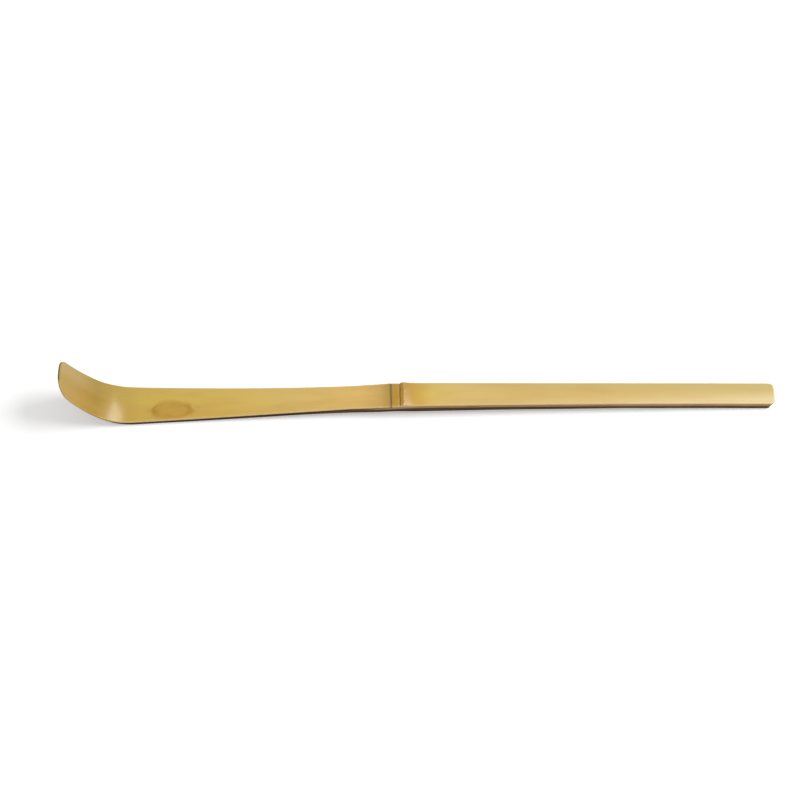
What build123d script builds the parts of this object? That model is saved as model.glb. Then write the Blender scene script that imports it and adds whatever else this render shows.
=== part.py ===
from build123d import *
from math import asin, cos, degrees, radians, sin, sqrt, tan
import os

os.makedirs("parts", exist_ok=True)

# A tea scoop carved from one strip of bamboo, in millimetres and degrees.
# X runs along the strip from the scoop's tip to the end of the handle, Y across it, Z up,
# with the skin side up. The strip is one piece of bamboo, and the solids here are the tissues
# and stretches that a carver tells apart: hard rind over soft flesh, and the rings and the dense
# wood of the node between them.

# The culm that the strip was split from: its round shows across the skin
culm_radius = 40.0
tip_crown_radius = 75.0
rind_thickness = 0.28

# The skin line in side view, from the heel up to the tip and from the heel back to the node's scar
bend_radius = 13.75
bend_angle = 41.0
tip_radius = 40.0
tip_angle = 19.0
shaft_radius = 890.0
shaft_length = 65.8

# The handle in side view, from the scar to its end
handle_length = 97.3
handle_step = 0.21
handle_bow = 0.18
rest_flat_length = 38.0

# Widths of the skin face
tip_width = 10.15
shoulder_width = 11.3
shoulder_run = 3.8
waist_width = 7.13
waist_to_scar = 10.6
node_width = 7.38
end_width = 6.47
shaft_taper_power = 1.36
handle_taper_power = 2.8

# Thickness at the middle of the strip, skin to back
tip_thickness = 0.56
bend_thickness = 0.8
heel_thickness = 1.72
shaft_thickness = 1.79
scar_thickness = 2.65
grip_thickness = 3.2
end_thickness = 2.5
thinnest_run = 42.0

# The carved edges: a sanded round at the skin, an upright side, and a lower side that leans in,
# the more the nearer the tip, whose rim is shaved thin from the back
tip_edge_round = 0.1
edge_round = 0.25
tip_side_height = 0.1
heel_side_height = 0.2
handle_side_height = 0.9
lean_angle = 12.0
tip_lean_angle = 55.0

# The rounded tip and the rounded end of the handle, seen square to the skin
tip_end_radius = 10.5
far_corner_radius = 3.0
near_corner_radius = 4.7
handle_end_radius = 16.0
handle_far_corner_radius = 1.4
handle_near_corner_radius = 2.0
end_lean_angle = 30.0
corner_flare = 0.06

# The node, measured from the scar that the fallen sheath leaves round the culm
lip_reach = 2.4
lip_crest_reach = 0.8
lip_height = 0.22
scar_width = 0.4
scar_depth = 0.3
band_length = 1.8
groove_width = 0.28
groove_depth = 0.12
crest_reach = 2.9
ridge_height = 0.5
ridge_reach = 7.0
ring_depth = 0.5

# How far cutters and blanks run past what they cut, and how many sections each strip is lofted on
overrun = 1.5
scoop_section_count = 33
handle_section_count = 9

bend_run = bend_radius * radians(bend_angle)
tip_run = bend_run + tip_radius * radians(tip_angle)
scar_angle = shaft_length / shaft_radius
scar_x = shaft_radius * sin(scar_angle)
scar_z = shaft_radius * (1 - cos(scar_angle))
node_start_x = scar_x - lip_reach
node_end_x = scar_x + ridge_reach
end_x = scar_x + handle_length
floor_z = -heel_thickness
across = (0, 1, 0)


def between(start, end, share):
    """A value part of the way from one to another."""
    return start + (end - start) * share


def eased(start, end, share):
    """A value part of the way from one to another, leaving and arriving level."""
    return between(start, end, share * share * (3 - 2 * share))


def drop_at(radius, reach):
    """How far a round of this radius has fallen at a distance from its middle."""
    return radius - sqrt(radius * radius - reach * reach)


def skin_plane(run):
    """The plane square to the skin line at a run from the heel: its origin on the skin, local x
    across the strip, local y out of the skin and local z along the strip towards the handle."""
    if run >= 0:
        angle = run / shaft_radius
        x = shaft_radius * sin(angle)
        z = shaft_radius * (1 - cos(angle))
    elif run >= -bend_run:
        angle = run / bend_radius
        x = bend_radius * sin(angle)
        z = bend_radius * (1 - cos(angle))
    else:
        bend_end = -radians(bend_angle)
        angle = bend_end + (run + bend_run) / tip_radius
        x = bend_radius * sin(bend_end) + tip_radius * (sin(angle) - sin(bend_end))
        z = bend_radius * (1 - cos(bend_end)) + tip_radius * (cos(bend_end) - cos(angle))
    return Plane(origin=(x, 0, z), x_dir=across, z_dir=(cos(angle), 0, sin(angle)))


def scoop_width(run):
    """Width of the skin face between the tip and the scar."""
    waist_run = shaft_length - waist_to_scar
    if run <= -shoulder_run:
        return between(shoulder_width, tip_width, (-run - shoulder_run) / (tip_run - shoulder_run))
    if run <= waist_run:
        share = (run + shoulder_run) / (waist_run + shoulder_run)
        return between(waist_width, shoulder_width, (1 - share) ** shaft_taper_power)
    return eased(waist_width, node_width, (run - waist_run) / waist_to_scar)


def scoop_thickness(run):
    """Thickness of the strip between the tip and the scar."""
    if run <= -bend_run:
        return between(bend_thickness, tip_thickness, (-run - bend_run) / (tip_run - bend_run))
    if run <= 0:
        return eased(heel_thickness, bend_thickness, -run / bend_run)
    if run <= thinnest_run:
        return between(heel_thickness, shaft_thickness, run / thinnest_run)
    return eased(shaft_thickness, scar_thickness, (run - thinnest_run) / (shaft_length - thinnest_run))


def scoop_crown(run):
    """Radius of the skin's round across the strip, flatter where the tip was bent and thinned."""
    return eased(culm_radius, tip_crown_radius, min(max(-run / tip_run, 0), 1))


def scoop_side(run):
    """Height of the upright side between the tip and the scar."""
    if run <= 0:
        return between(heel_side_height, tip_side_height, -run / tip_run)
    return eased(heel_side_height, handle_side_height, run / shaft_length)


def scoop_round(run):
    """Radius of the skin's sanded edges between the tip and the scar."""
    return between(edge_round, tip_edge_round, max(-run / tip_run, 0))


def scoop_lean(run):
    """Lean of the lower side between the tip and the scar."""
    return between(lean_angle, tip_lean_angle, min(max(-run / tip_run, 0), 1))


def handle_skin(x):
    """Height of the skin along the handle, from the node to the end."""
    share = (x - node_end_x) / (end_x - node_end_x)
    straight = between(scar_z + handle_step, floor_z + end_thickness, share)
    return straight + 4 * handle_bow * share * (1 - share)


def handle_width(x):
    """Width of the skin face between the node and the end of the handle."""
    share = min((x - scar_x) / handle_length, 1)
    return between(end_width, node_width, (1 - share) ** handle_taper_power)


def strip_section(width, thickness, side_height, skin_round, crown_radius, lean):
    """The strip cut across: a crowned skin with rounded edges, upright sides, leaning lower
    sides and a flat back."""
    half = width / 2
    flat_half = half - skin_round
    skin_edge = -drop_at(crown_radius, flat_half)
    side_top = skin_edge - skin_round
    side_foot = side_top - side_height
    back = -thickness
    back_half = half - (side_foot - back) * tan(radians(lean))
    middle = skin_round * sqrt(0.5)
    near_round = ((-half, side_top), (-flat_half - middle, side_top + middle), (-flat_half, skin_edge))
    far_round = ((flat_half, skin_edge), (flat_half + middle, side_top + middle), (half, side_top))
    outline = [
        ThreePointArc((-flat_half, skin_edge), (0, 0), (flat_half, skin_edge)),
        ThreePointArc(*far_round),
        Line((half, side_top), (half, side_foot)),
        Line((half, side_foot), (back_half, back)),
        Line((back_half, back), (-back_half, back)),
        Line((-back_half, back), (-half, side_foot)),
        Line((-half, side_foot), (-half, side_top)),
        ThreePointArc(*near_round),
    ]
    return make_face(Curve() + outline)


def skin_section(width, crown_radius):
    """What lies above the underside of the rind, wider and higher than the strip."""
    half = width / 2 + overrun
    edge = -rind_thickness - drop_at(crown_radius - rind_thickness, half)
    outline = [
        ThreePointArc((-half, edge), (0, -rind_thickness), (half, edge)),
        Line((half, edge), (half, overrun)),
        Line((half, overrun), (-half, overrun)),
        Line((-half, overrun), (-half, edge)),
    ]
    return make_face(Curve() + outline)


def even_places(start, end, count):
    """Places at an even spacing from one end to the other, where sections stand."""
    return [between(start, end, step / (count - 1)) for step in range(count)]


def rounded_end(width, end_radius, near_radius, far_radius, reach):
    """A face that covers what is cut away round an end whose middle is at the origin and whose
    strip runs along +Y: a bowed end edge with a rounded corner at each side."""
    half = width / 2 + corner_flare
    wide = half + corner_flare
    edge = drop_at(end_radius, half)
    outline = [
        ThreePointArc((-half, edge), (0, 0), (half, edge)),
        Line((half, edge), (wide, reach)),
        Line((wide, reach), (-wide, reach)),
        Line((-wide, reach), (-half, edge)),
    ]
    kept = make_face(Curve() + outline)
    kept = fillet(kept.vertices().sort_by_distance((-half, edge))[0], near_radius)
    kept = fillet(kept.vertices().sort_by_distance((half, edge))[0], far_radius)
    cover_size = (2 * (wide + overrun), reach + 2 * overrun)
    covered = Pos(0, reach) * Rectangle(*cover_size, align=(Align.CENTER, Align.MAX))
    return covered - kept


def make_scoop():
    """The rind and the flesh from the tip to the node: one carved strip, parted under its skin."""
    sections = []
    skins = []
    for run in even_places(-tip_run - overrun, shaft_length, scoop_section_count):
        width = scoop_width(run)
        crown = scoop_crown(run)
        thickness = scoop_thickness(run)
        section = strip_section(
            width, thickness, scoop_side(run), scoop_round(run), crown, scoop_lean(run)
        )
        sections.append(skin_plane(run) * section)
        skins.append(skin_plane(run) * skin_section(width, crown))
    strip = loft(sections)
    skin = loft(skins)
    square = skin_plane(-tip_run)
    tip_plane = Plane(origin=square.origin, x_dir=across, z_dir=-square.y_dir)
    corner_reach = far_corner_radius + near_corner_radius
    off_cut = rounded_end(
        tip_width, tip_end_radius, near_corner_radius, far_corner_radius, corner_reach
    )
    knife = extrude(tip_plane * off_cut, amount=bend_thickness + overrun, both=True)
    strip = split(strip, bisect_by=Plane.YZ.offset(node_start_x), keep=Keep.BOTTOM) - knife
    return strip & skin, strip - skin


def node_section(x, skin_z, width, thickness, side_height):
    """The node's blank cut across: the strip's own sides and back under a top left high, because
    the rings are turned out of it."""
    half = width / 2
    top = ridge_height + overrun
    side_foot = -drop_at(culm_radius, half - edge_round) - edge_round - side_height
    back_half = half - (side_foot + thickness) * tan(radians(lean_angle))
    outline = Polyline(
        (-half, top),
        (half, top),
        (half, side_foot),
        (back_half, -thickness),
        (-back_half, -thickness),
        (-half, side_foot),
        close=True,
    )
    return Plane(origin=(x, 0, skin_z), x_dir=across, z_dir=(1, 0, 0)) * make_face(outline)


def node_profile():
    """The skin line along the node with everything under it: the lip that the sheath stood on,
    its scar, a plain band, a fine groove and the steep-faced ridge that falls to the handle."""
    start_level = skin_plane(shaft_length - lip_reach).origin.Z - scar_z
    start_slope = tan(scar_angle)
    end_level = handle_skin(node_end_x) - scar_z
    end_slope = (handle_skin(node_end_x + overrun) - handle_skin(node_end_x)) / overrun
    lip_ease = (lip_reach - lip_crest_reach) / 2
    ridge_ease = (ridge_reach - crest_reach) / 3
    scar_half = scar_width / 2
    band_end = scar_half + band_length
    groove_end = band_end + groove_width
    rise_ease = (crest_reach - groove_end) / 2
    deep = -grip_thickness - overrun
    before = -lip_reach - overrun
    after = ridge_reach + overrun
    outline = [
        Line((before, deep), (before, start_level - start_slope * overrun)),
        Line((before, start_level - start_slope * overrun), (-lip_reach, start_level)),
        Bezier(
            (-lip_reach, start_level),
            (-lip_reach + lip_ease, start_level + start_slope * lip_ease),
            (-lip_crest_reach - lip_ease, lip_height),
            (-lip_crest_reach, lip_height),
        ),
        Bezier((-lip_crest_reach, lip_height), (-scar_half, lip_height), (-scar_half, 0)),
        ThreePointArc((-scar_half, 0), (0, -scar_depth), (scar_half, 0)),
        Line((scar_half, 0), (band_end, 0)),
        ThreePointArc((band_end, 0), (band_end + groove_width / 2, -groove_depth), (groove_end, 0)),
        Bezier(
            (groove_end, 0),
            (groove_end, ridge_height / 2),
            (crest_reach - rise_ease, ridge_height),
            (crest_reach, ridge_height),
        ),
        Bezier(
            (crest_reach, ridge_height),
            (crest_reach + ridge_ease, ridge_height),
            (ridge_reach - ridge_ease, end_level - end_slope * ridge_ease),
            (ridge_reach, end_level),
        ),
        Line((ridge_reach, end_level), (after, end_level + end_slope * overrun)),
        Line((after, end_level + end_slope * overrun), (after, deep)),
        Line((after, deep), (before, deep)),
    ]
    return make_face(Curve() + outline)


def turned(profile):
    """A face of the side view turned about the culm's middle, over the width of the strip."""
    culm = Axis((0, 0, scar_z - culm_radius), (1, 0, 0))
    face = Plane(origin=(scar_x, 0, scar_z), x_dir=(1, 0, 0), z_dir=(0, -1, 0)) * profile
    swing = degrees(asin((node_width / 2 + overrun) / (culm_radius - grip_thickness - overrun)))
    return revolve(face.rotate(culm, -swing), axis=culm, revolution_arc=2 * swing)


def make_node():
    """The node's sheath ring and stem ridge over its dense core."""
    start_run = shaft_length - lip_reach
    start = node_section(
        node_start_x,
        skin_plane(start_run).origin.Z,
        scoop_width(start_run),
        scoop_thickness(start_run),
        scoop_side(start_run),
    )
    middle = node_section(scar_x, scar_z, node_width, scar_thickness, handle_side_height)
    end = node_section(
        node_end_x,
        handle_skin(node_end_x),
        handle_width(node_end_x),
        grip_thickness,
        handle_side_height,
    )
    blank = loft([start, middle, end]) & turned(node_profile())
    ring_length = lip_reach + ridge_reach + 2 * overrun
    ring_height = ring_depth + ridge_height + overrun
    low_corner = (Align.MIN, Align.MIN)
    above = Pos(-lip_reach - overrun, -ring_depth) * Rectangle(ring_length, ring_height, align=low_corner)
    skin = turned(above)
    rings = blank & skin
    scar = Plane.YZ.offset(scar_x)
    sheath_ring = split(rings, bisect_by=scar, keep=Keep.BOTTOM)
    stem_ridge = split(rings, bisect_by=scar, keep=Keep.TOP)
    return sheath_ring, stem_ridge, blank - skin


def handle_back():
    """What the plane takes off the back of the handle: one flat from the node to the knee, and the
    flat that the scoop rests on from there to the end."""
    knee_x = end_x - rest_flat_length
    knee_z = handle_skin(knee_x) - end_thickness
    start_z = handle_skin(node_end_x) - grip_thickness
    grip_slope = (knee_z - start_z) / (knee_x - node_end_x)
    rest_slope = (floor_z - knee_z) / rest_flat_length
    deep = floor_z - 2 * overrun
    before = (node_end_x - 2 * overrun, start_z - 2 * overrun * grip_slope)
    after = (end_x + 2 * overrun, floor_z + 2 * overrun * rest_slope)
    outline = Polyline(
        (before[0], deep), before, (knee_x, knee_z), after, (after[0], deep), close=True
    )
    return extrude(Plane.XZ * make_face(outline), amount=node_width, both=True)


def end_slant():
    """What the knife takes off under the end of the handle: a slant from the foot of the upright
    side in to the back."""
    foot_z = handle_skin(end_x) - edge_round - handle_side_height
    slant = tan(radians(end_lean_angle))
    deep = floor_z - overrun
    outer = (end_x + overrun * slant, foot_z + overrun)
    inner = (end_x - (foot_z - deep) * slant, deep)
    outline = Polyline(outer, inner, (outer[0], deep), close=True)
    return extrude(Plane.XZ * make_face(outline), amount=node_width, both=True)


def make_handle():
    """The rind and the flesh from the node to the end of the handle."""
    sections = []
    skins = []
    for x in even_places(node_end_x - overrun, end_x + overrun, handle_section_count):
        plane = Plane(origin=(x, 0, handle_skin(x)), x_dir=across, z_dir=(1, 0, 0))
        depth = grip_thickness + overrun
        sections.append(
            plane
            * strip_section(
                handle_width(x), depth, handle_side_height, edge_round, culm_radius, lean_angle
            )
        )
        skins.append(plane * skin_section(handle_width(x), culm_radius))
    strip = split(loft(sections), bisect_by=Plane.YZ.offset(node_end_x), keep=Keep.TOP)
    end_plane = Plane(origin=(end_x, 0, 0), x_dir=across, z_dir=(0, 0, 1))
    off_cut = rounded_end(
        end_width,
        handle_end_radius,
        handle_near_corner_radius,
        handle_far_corner_radius,
        handle_near_corner_radius + handle_far_corner_radius,
    )
    knife = extrude(end_plane * off_cut, amount=node_width, both=True)
    strip = strip - handle_back() - end_slant() - knife
    skin = loft(skins)
    return strip & skin, strip - skin


scoop_rind, scoop_flesh = make_scoop()
sheath_ring, stem_ridge, node_core = make_node()
handle_rind, handle_flesh = make_handle()

solids = {
    "scoop_rind": scoop_rind,
    "scoop_flesh": scoop_flesh,
    "sheath_ring": sheath_ring,
    "stem_ridge": stem_ridge,
    "node_core": node_core,
    "handle_rind": handle_rind,
    "handle_flesh": handle_flesh,
}

# The origin stands under the middle of the whole scoop, on the surface that it lies on
box = Compound(list(solids.values())).bounding_box()
to_origin = Pos(-box.center().X, -box.center().Y, -box.min.Z)
for name, solid in solids.items():
    export_step(to_origin * solid, f"parts/{name}.step")
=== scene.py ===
"""A tea scoop carved from one strip of bamboo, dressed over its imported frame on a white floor.

The strip is drawn as closed blocks worked out with numpy: hard rind over soft flesh, from the tip
to the node, through the node's rings and along the handle. Shapes are in millimetres until they
become meshes, which are in metres in the frame's own place.
"""

import logging
from collections.abc import Callable
from dataclasses import dataclass, field
from enum import Enum

import bpy
import numpy as np
from mathutils import Matrix, Vector
from numpy.typing import NDArray


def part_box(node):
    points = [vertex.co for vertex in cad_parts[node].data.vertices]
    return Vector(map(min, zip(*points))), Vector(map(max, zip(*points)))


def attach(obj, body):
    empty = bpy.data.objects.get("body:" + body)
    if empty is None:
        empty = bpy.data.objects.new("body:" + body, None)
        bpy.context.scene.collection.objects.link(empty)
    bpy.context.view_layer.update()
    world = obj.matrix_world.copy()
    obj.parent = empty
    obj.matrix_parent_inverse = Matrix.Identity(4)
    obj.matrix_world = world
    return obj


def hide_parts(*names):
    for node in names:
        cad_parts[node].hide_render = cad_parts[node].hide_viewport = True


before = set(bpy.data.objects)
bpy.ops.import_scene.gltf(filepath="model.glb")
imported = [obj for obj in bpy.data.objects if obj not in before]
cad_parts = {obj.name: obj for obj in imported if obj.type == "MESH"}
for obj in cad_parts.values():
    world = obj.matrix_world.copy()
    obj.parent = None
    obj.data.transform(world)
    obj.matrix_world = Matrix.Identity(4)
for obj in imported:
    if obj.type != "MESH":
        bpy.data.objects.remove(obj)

Array = NDArray[np.float64]
Numbers = NDArray[np.int64]
Place = tuple[Array, Array, Array]
Height = Callable[[Array, Array], Array]
Ring = tuple[Height, Height]

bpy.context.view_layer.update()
LOG = logging.getLogger("tea_scoop")
MM = 0.001
WHITE = (1.0, 1.0, 1.0, 1.0)
BODY = "root"
SHARP_ANGLE = 38.0
NOISE_KNOTS = 512


def between(start: float | Array, end: float | Array, share: Array) -> Array:
    """A value part of the way from one to another.

    Args:
        start: The value at share 0.
        end: The value at share 1.
        share: How far along, from 0 to 1.

    Returns:
        start + (end - start) * share.
    """
    return start + (end - start) * share


def eased(start: float | Array, end: float | Array, share: Array) -> Array:
    """A value part of the way from one to another, leaving and arriving level.

    Args:
        start: The value at share 0.
        end: The value at share 1.
        share: How far along; it is held from 0 to 1.

    Returns:
        The two blended by share squared times (3 - 2 share).
    """
    held = np.clip(share, 0, 1)
    return between(start, end, held * held * (3 - 2 * held))


def drop_at(radius: float | Array, reach: Array) -> Array:
    """How far a round has fallen at a distance from its middle.

    Args:
        radius: The round's radius.
        reach: Distance from the middle.

    Returns:
        radius - sqrt(radius squared - reach squared).
    """
    return radius - np.sqrt(radius * radius - reach * reach)


def bezier(points: tuple[tuple[float, float], ...], count: int = 24) -> Array:
    """Points on a Bezier curve, by repeated blending of its control points.

    Args:
        points: Control points in the plane.
        count: How many points to give.

    Returns:
        An array of count rows and 2 columns.
    """
    share = np.linspace(0, 1, count)[:, None, None]
    level = np.tile(np.asarray(points, float), (count, 1, 1))
    while level.shape[1] > 1:
        level = between(level[:, :-1], level[:, 1:], share)
    return level[:, 0]


def soft_noise(along: Array, across: Array, cell: tuple[float, float], seed: int) -> Array:
    """Seeded noise from -1 to 1: random heights on a grid of cells, eased between its corners.

    Args:
        along: Places along the strip.
        across: Places across the strip, of the same shape.
        cell: A cell's length and width, in millimetres.
        seed: Picks the random heights.

    Returns:
        The noise at each place.
    """
    heights = np.random.default_rng(seed).uniform(-1, 1, (NOISE_KNOTS, NOISE_KNOTS))
    row = along / cell[0] + NOISE_KNOTS / 2
    column = across / cell[1] + NOISE_KNOTS / 2
    i = np.floor(row).astype(int) % (NOISE_KNOTS - 1)
    j = np.floor(column).astype(int) % (NOISE_KNOTS - 1)
    u = row - np.floor(row)
    v = column - np.floor(column)
    low = eased(heights[i, j], heights[i + 1, j], u)
    high = eased(heights[i, j + 1], heights[i + 1, j + 1], u)
    return eased(low, high, v)


@dataclass(frozen=True)
class Plan:
    """A block's outline seen square to the skin, as the four edges of a grid.

    Each point is (run, y). The near and far edges go along the strip, and the start and end edges
    across it, from near to far. An edge that is cut lies against the next block.
    """

    near: Array
    far: Array
    start: Array
    end: Array
    start_cut: bool
    end_cut: bool

    def around(self) -> Array:
        """The outline's points once round: near, end, far and start."""
        return np.concatenate([self.near, self.end[1:-1], self.far[::-1], self.start[1:-1][::-1]])

    def inward(self) -> "Plan":
        """The inward normals at the outline's points, as a plan of directions.

        The free edges are joined to one line, its tangents are turned a quarter, and where an
        edge meets a cut the normal lies straight across the strip.

        Returns:
            A unit vector for each point of the free edges, and zeros along the cuts.
        """
        rows = len(self.near)
        if self.start_cut and self.end_cut:
            near, far = turned_left(self.near), turned_left(self.far[::-1])[::-1]
            start, end = self.start * 0, self.end * 0
        elif self.end_cut:
            line = np.concatenate([self.far[::-1], self.start[1:-1][::-1], self.near])
            normals = turned_left(line)
            far, near = normals[:rows][::-1], normals[-rows:]
            start, end = normals[rows - 1 : -rows + 1][::-1], self.end * 0
        else:
            line = np.concatenate([self.near, self.end[1:-1], self.far[::-1]])
            normals = turned_left(line)
            near, far = normals[:rows], normals[-rows:][::-1]
            start, end = self.start * 0, normals[rows - 1 : len(line) - rows + 1]
        return Plan(near, far, start, end, self.start_cut, self.end_cut)

    def inset(self, inward: "Plan", amount: Height) -> "Plan":
        """The outline moved inwards.

        Args:
            inward: The normals that inward() gives.
            amount: How far each point moves, from its run and its y.

        Returns:
            The new plan, whose cut edges stay straight between the moved side edges.
        """

        def moved(edge: Array, normals: Array) -> Array:
            """One edge moved along its normals."""
            return edge + normals * amount(edge[:, 0], edge[:, 1])[:, None]

        near, far = moved(self.near, inward.near), moved(self.far, inward.far)
        start = moved(self.start, inward.start)
        end = moved(self.end, inward.end)
        if self.start_cut:
            start = straight_edge(self.start, near[0], far[0])
        if self.end_cut:
            end = straight_edge(self.end, near[-1], far[-1])
        return Plan(near, far, start, end, self.start_cut, self.end_cut)

    def patch(self) -> Array:
        """The grid inside the outline: its opposite edges blended, less what both blends share.

        Returns:
            An array of rows, columns and (run, y).
        """
        v = share_along(self.near)[:, None, None]
        u = share_along(self.start)[None, :, None]
        lengthwise = between(self.near[:, None], self.far[:, None], u)
        crosswise = between(self.start[None], self.end[None], v)
        first, last = between(self.start[0], self.start[-1], u), between(self.end[0], self.end[-1], u)
        return lengthwise + crosswise - between(first, last, v)

    def reach(self, flat: Array) -> Array:
        """How far places inside the outline lie from its free edges.

        Args:
            flat: The places (run, y).

        Returns:
            Each place's distance from the nearest free edge.
        """
        free = [self.near, self.far]
        free += [] if self.start_cut else [self.start]
        free += [] if self.end_cut else [self.end]
        return np.minimum.reduce([reach_to(edge, flat) for edge in free])


def reach_to(line: Array, flat: Array) -> Array:
    """The shortest distances from places (run, y) to a line of straight pieces.

    Args:
        line: The line's points in order.
        flat: The places, in an array whose last axis is (run, y).

    Returns:
        One distance for each place.
    """
    pieces = np.diff(line, axis=0)
    away = flat.reshape(-1, 1, 2) - line[:-1]
    share = np.clip((away * pieces).sum(-1) / (pieces**2).sum(-1), 0, 1)
    gaps = np.linalg.norm(away - share[..., None] * pieces, axis=-1)
    return gaps.min(axis=1).reshape(flat.shape[:-1])


def turned_left(line: Array) -> Array:
    """Unit normals to the left of a line, straight across the strip at its two ends.

    Args:
        line: Points (run, y) in order.

    Returns:
        One normal for each point.
    """
    step = np.gradient(line, axis=0)
    normals = np.stack([-step[:, 1], step[:, 0]], axis=1)
    normals /= np.linalg.norm(normals, axis=1, keepdims=True)
    for place in (0, -1):
        normals[place] = (0, np.sign(normals[place, 1]))
    return normals


def shares_across(edge: Array) -> Array:
    """Each point's share of an edge's width, from 0 on the near side to 1."""
    return (edge[:, 1] - edge[0, 1]) / (edge[-1, 1] - edge[0, 1])


def straight_edge(edge: Array, first: Array, last: Array) -> Array:
    """A cut edge between two new corners, its points at the same shares of its width."""
    return between(first, last, shares_across(edge)[:, None])


def share_along(edge: Array) -> Array:
    """Each point's share of an edge's length.

    Args:
        edge: Points (run, y) in order.

    Returns:
        Shares from 0 to 1.
    """
    steps = np.linalg.norm(np.diff(edge, axis=0), axis=1)
    run = np.concatenate([[0.0], np.cumsum(steps)])
    return run / run[-1]


@dataclass(frozen=True)
class RoundedEnd:
    """A bowed end with a rounded corner at each side, in millimetres.

    A corner's round touches the side and the bow: its middle lies the corner's radius inside the
    side, and the bow's radius less the corner's from the bow's middle.
    """

    half_width: float
    bow_radius: float
    near_radius: float
    far_radius: float
    corner_points: int = 9
    bow_points: int = 41

    def corner(self, radius: float) -> tuple[Array, Array]:
        """One corner, on the far side.

        Args:
            radius: The corner's radius.

        Returns:
            Points (distance from the end, y) of the half that belongs to the side, from the side
            inwards, and of the half that belongs to the end edge.
        """
        bow, inner = self.bow_radius, self.half_width - radius
        middle = bow - np.sqrt((bow - radius) ** 2 - inner**2)
        touch = np.arcsin(inner / (bow - radius))
        turn = np.linspace(np.pi / 2, touch, 2 * self.corner_points - 1)
        arc = np.stack([middle - radius * np.cos(turn), inner + radius * np.sin(turn)], axis=1)
        return arc[: self.corner_points], arc[self.corner_points - 1 :]

    def edges(self) -> tuple[Array, Array, Array]:
        """Both corners and the bow between them, as points (distance from the end, y).

        Returns:
            The near side's corner, the far side's corner, and the end edge from near to far.
        """
        near_side, near_end = self.corner(self.near_radius)
        painted_far_reflection, far_end = self.corner(self.far_radius)
        mirror = np.array([1.0, -1.0])
        spread = np.linspace(-near_end[-1, 1], far_end[-1, 1], self.bow_points)[1:-1]
        bow = np.stack([drop_at(self.bow_radius, spread), spread], axis=1)
        end = np.concatenate([near_end * mirror, bow, far_end[::-1]])
        return near_side * mirror, painted_far_reflection, end


def make_mesh(name: str, points: Array, quads: Numbers) -> bpy.types.Object:
    """A mesh object at the origin, smooth but for its sharp edges.

    Args:
        name: The object's name.
        points: Corners in metres, one row each.
        quads: Four corner numbers for each face, in the order that faces outwards.

    Returns:
        The new object, linked to the scene.
    """
    mesh = bpy.data.meshes.new(name)
    mesh.from_pydata(points.tolist(), [], quads.tolist())
    mesh.shade_smooth()
    mesh.set_sharp_from_angle(angle=np.radians(SHARP_ANGLE))
    mesh.update()
    piece = bpy.data.objects.new(name, mesh)
    bpy.context.scene.collection.objects.link(piece)
    return piece


def grid_quads(rows: int, columns: int, first: int) -> Numbers:
    """The faces of a grid of corners that faces up.

    Args:
        rows: Corners along the strip.
        columns: Corners across it.
        first: The first corner's number.

    Returns:
        Four corner numbers for each face.
    """
    number = first + np.arange(rows * columns).reshape(rows, columns)
    corners = [number[:-1, :-1], number[1:, :-1], number[1:, 1:], number[:-1, 1:]]
    return np.stack(corners, axis=-1).reshape(-1, 4)


def grid_rim(rows: int, columns: int, first: int) -> Numbers:
    """The corner numbers once round a grid, in the order of Plan.around."""
    number = first + np.arange(rows * columns).reshape(rows, columns)
    return np.concatenate([number[:, 0], number[-1, 1:-1], number[::-1, -1], number[0, 1:-1][::-1]])


@dataclass
class Surface:
    """Points of a block, with what its finish reads at each: the grain, the tone and the rim."""

    points: list[Array] = field(default_factory=list)
    grain: list[Array] = field(default_factory=list)
    tone: list[Array] = field(default_factory=list)
    rim: list[Array] = field(default_factory=list)

    def add(self, points: Array, grain: Array, tone: Array, rim: Array) -> None:
        """Adds points with what the finish reads at them.

        Args:
            points: The points, in metres.
            grain: Their run, y and depth under the skin line, in millimetres.
            tone: Their tone.
            rim: Their way in from the free edge, less their way down from it, in millimetres.
        """
        self.points.append(points.reshape(-1, 3))
        self.grain.append(grain.reshape(-1, 3))
        self.tone.append(tone.reshape(-1))
        self.rim.append(rim.reshape(-1))


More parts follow.
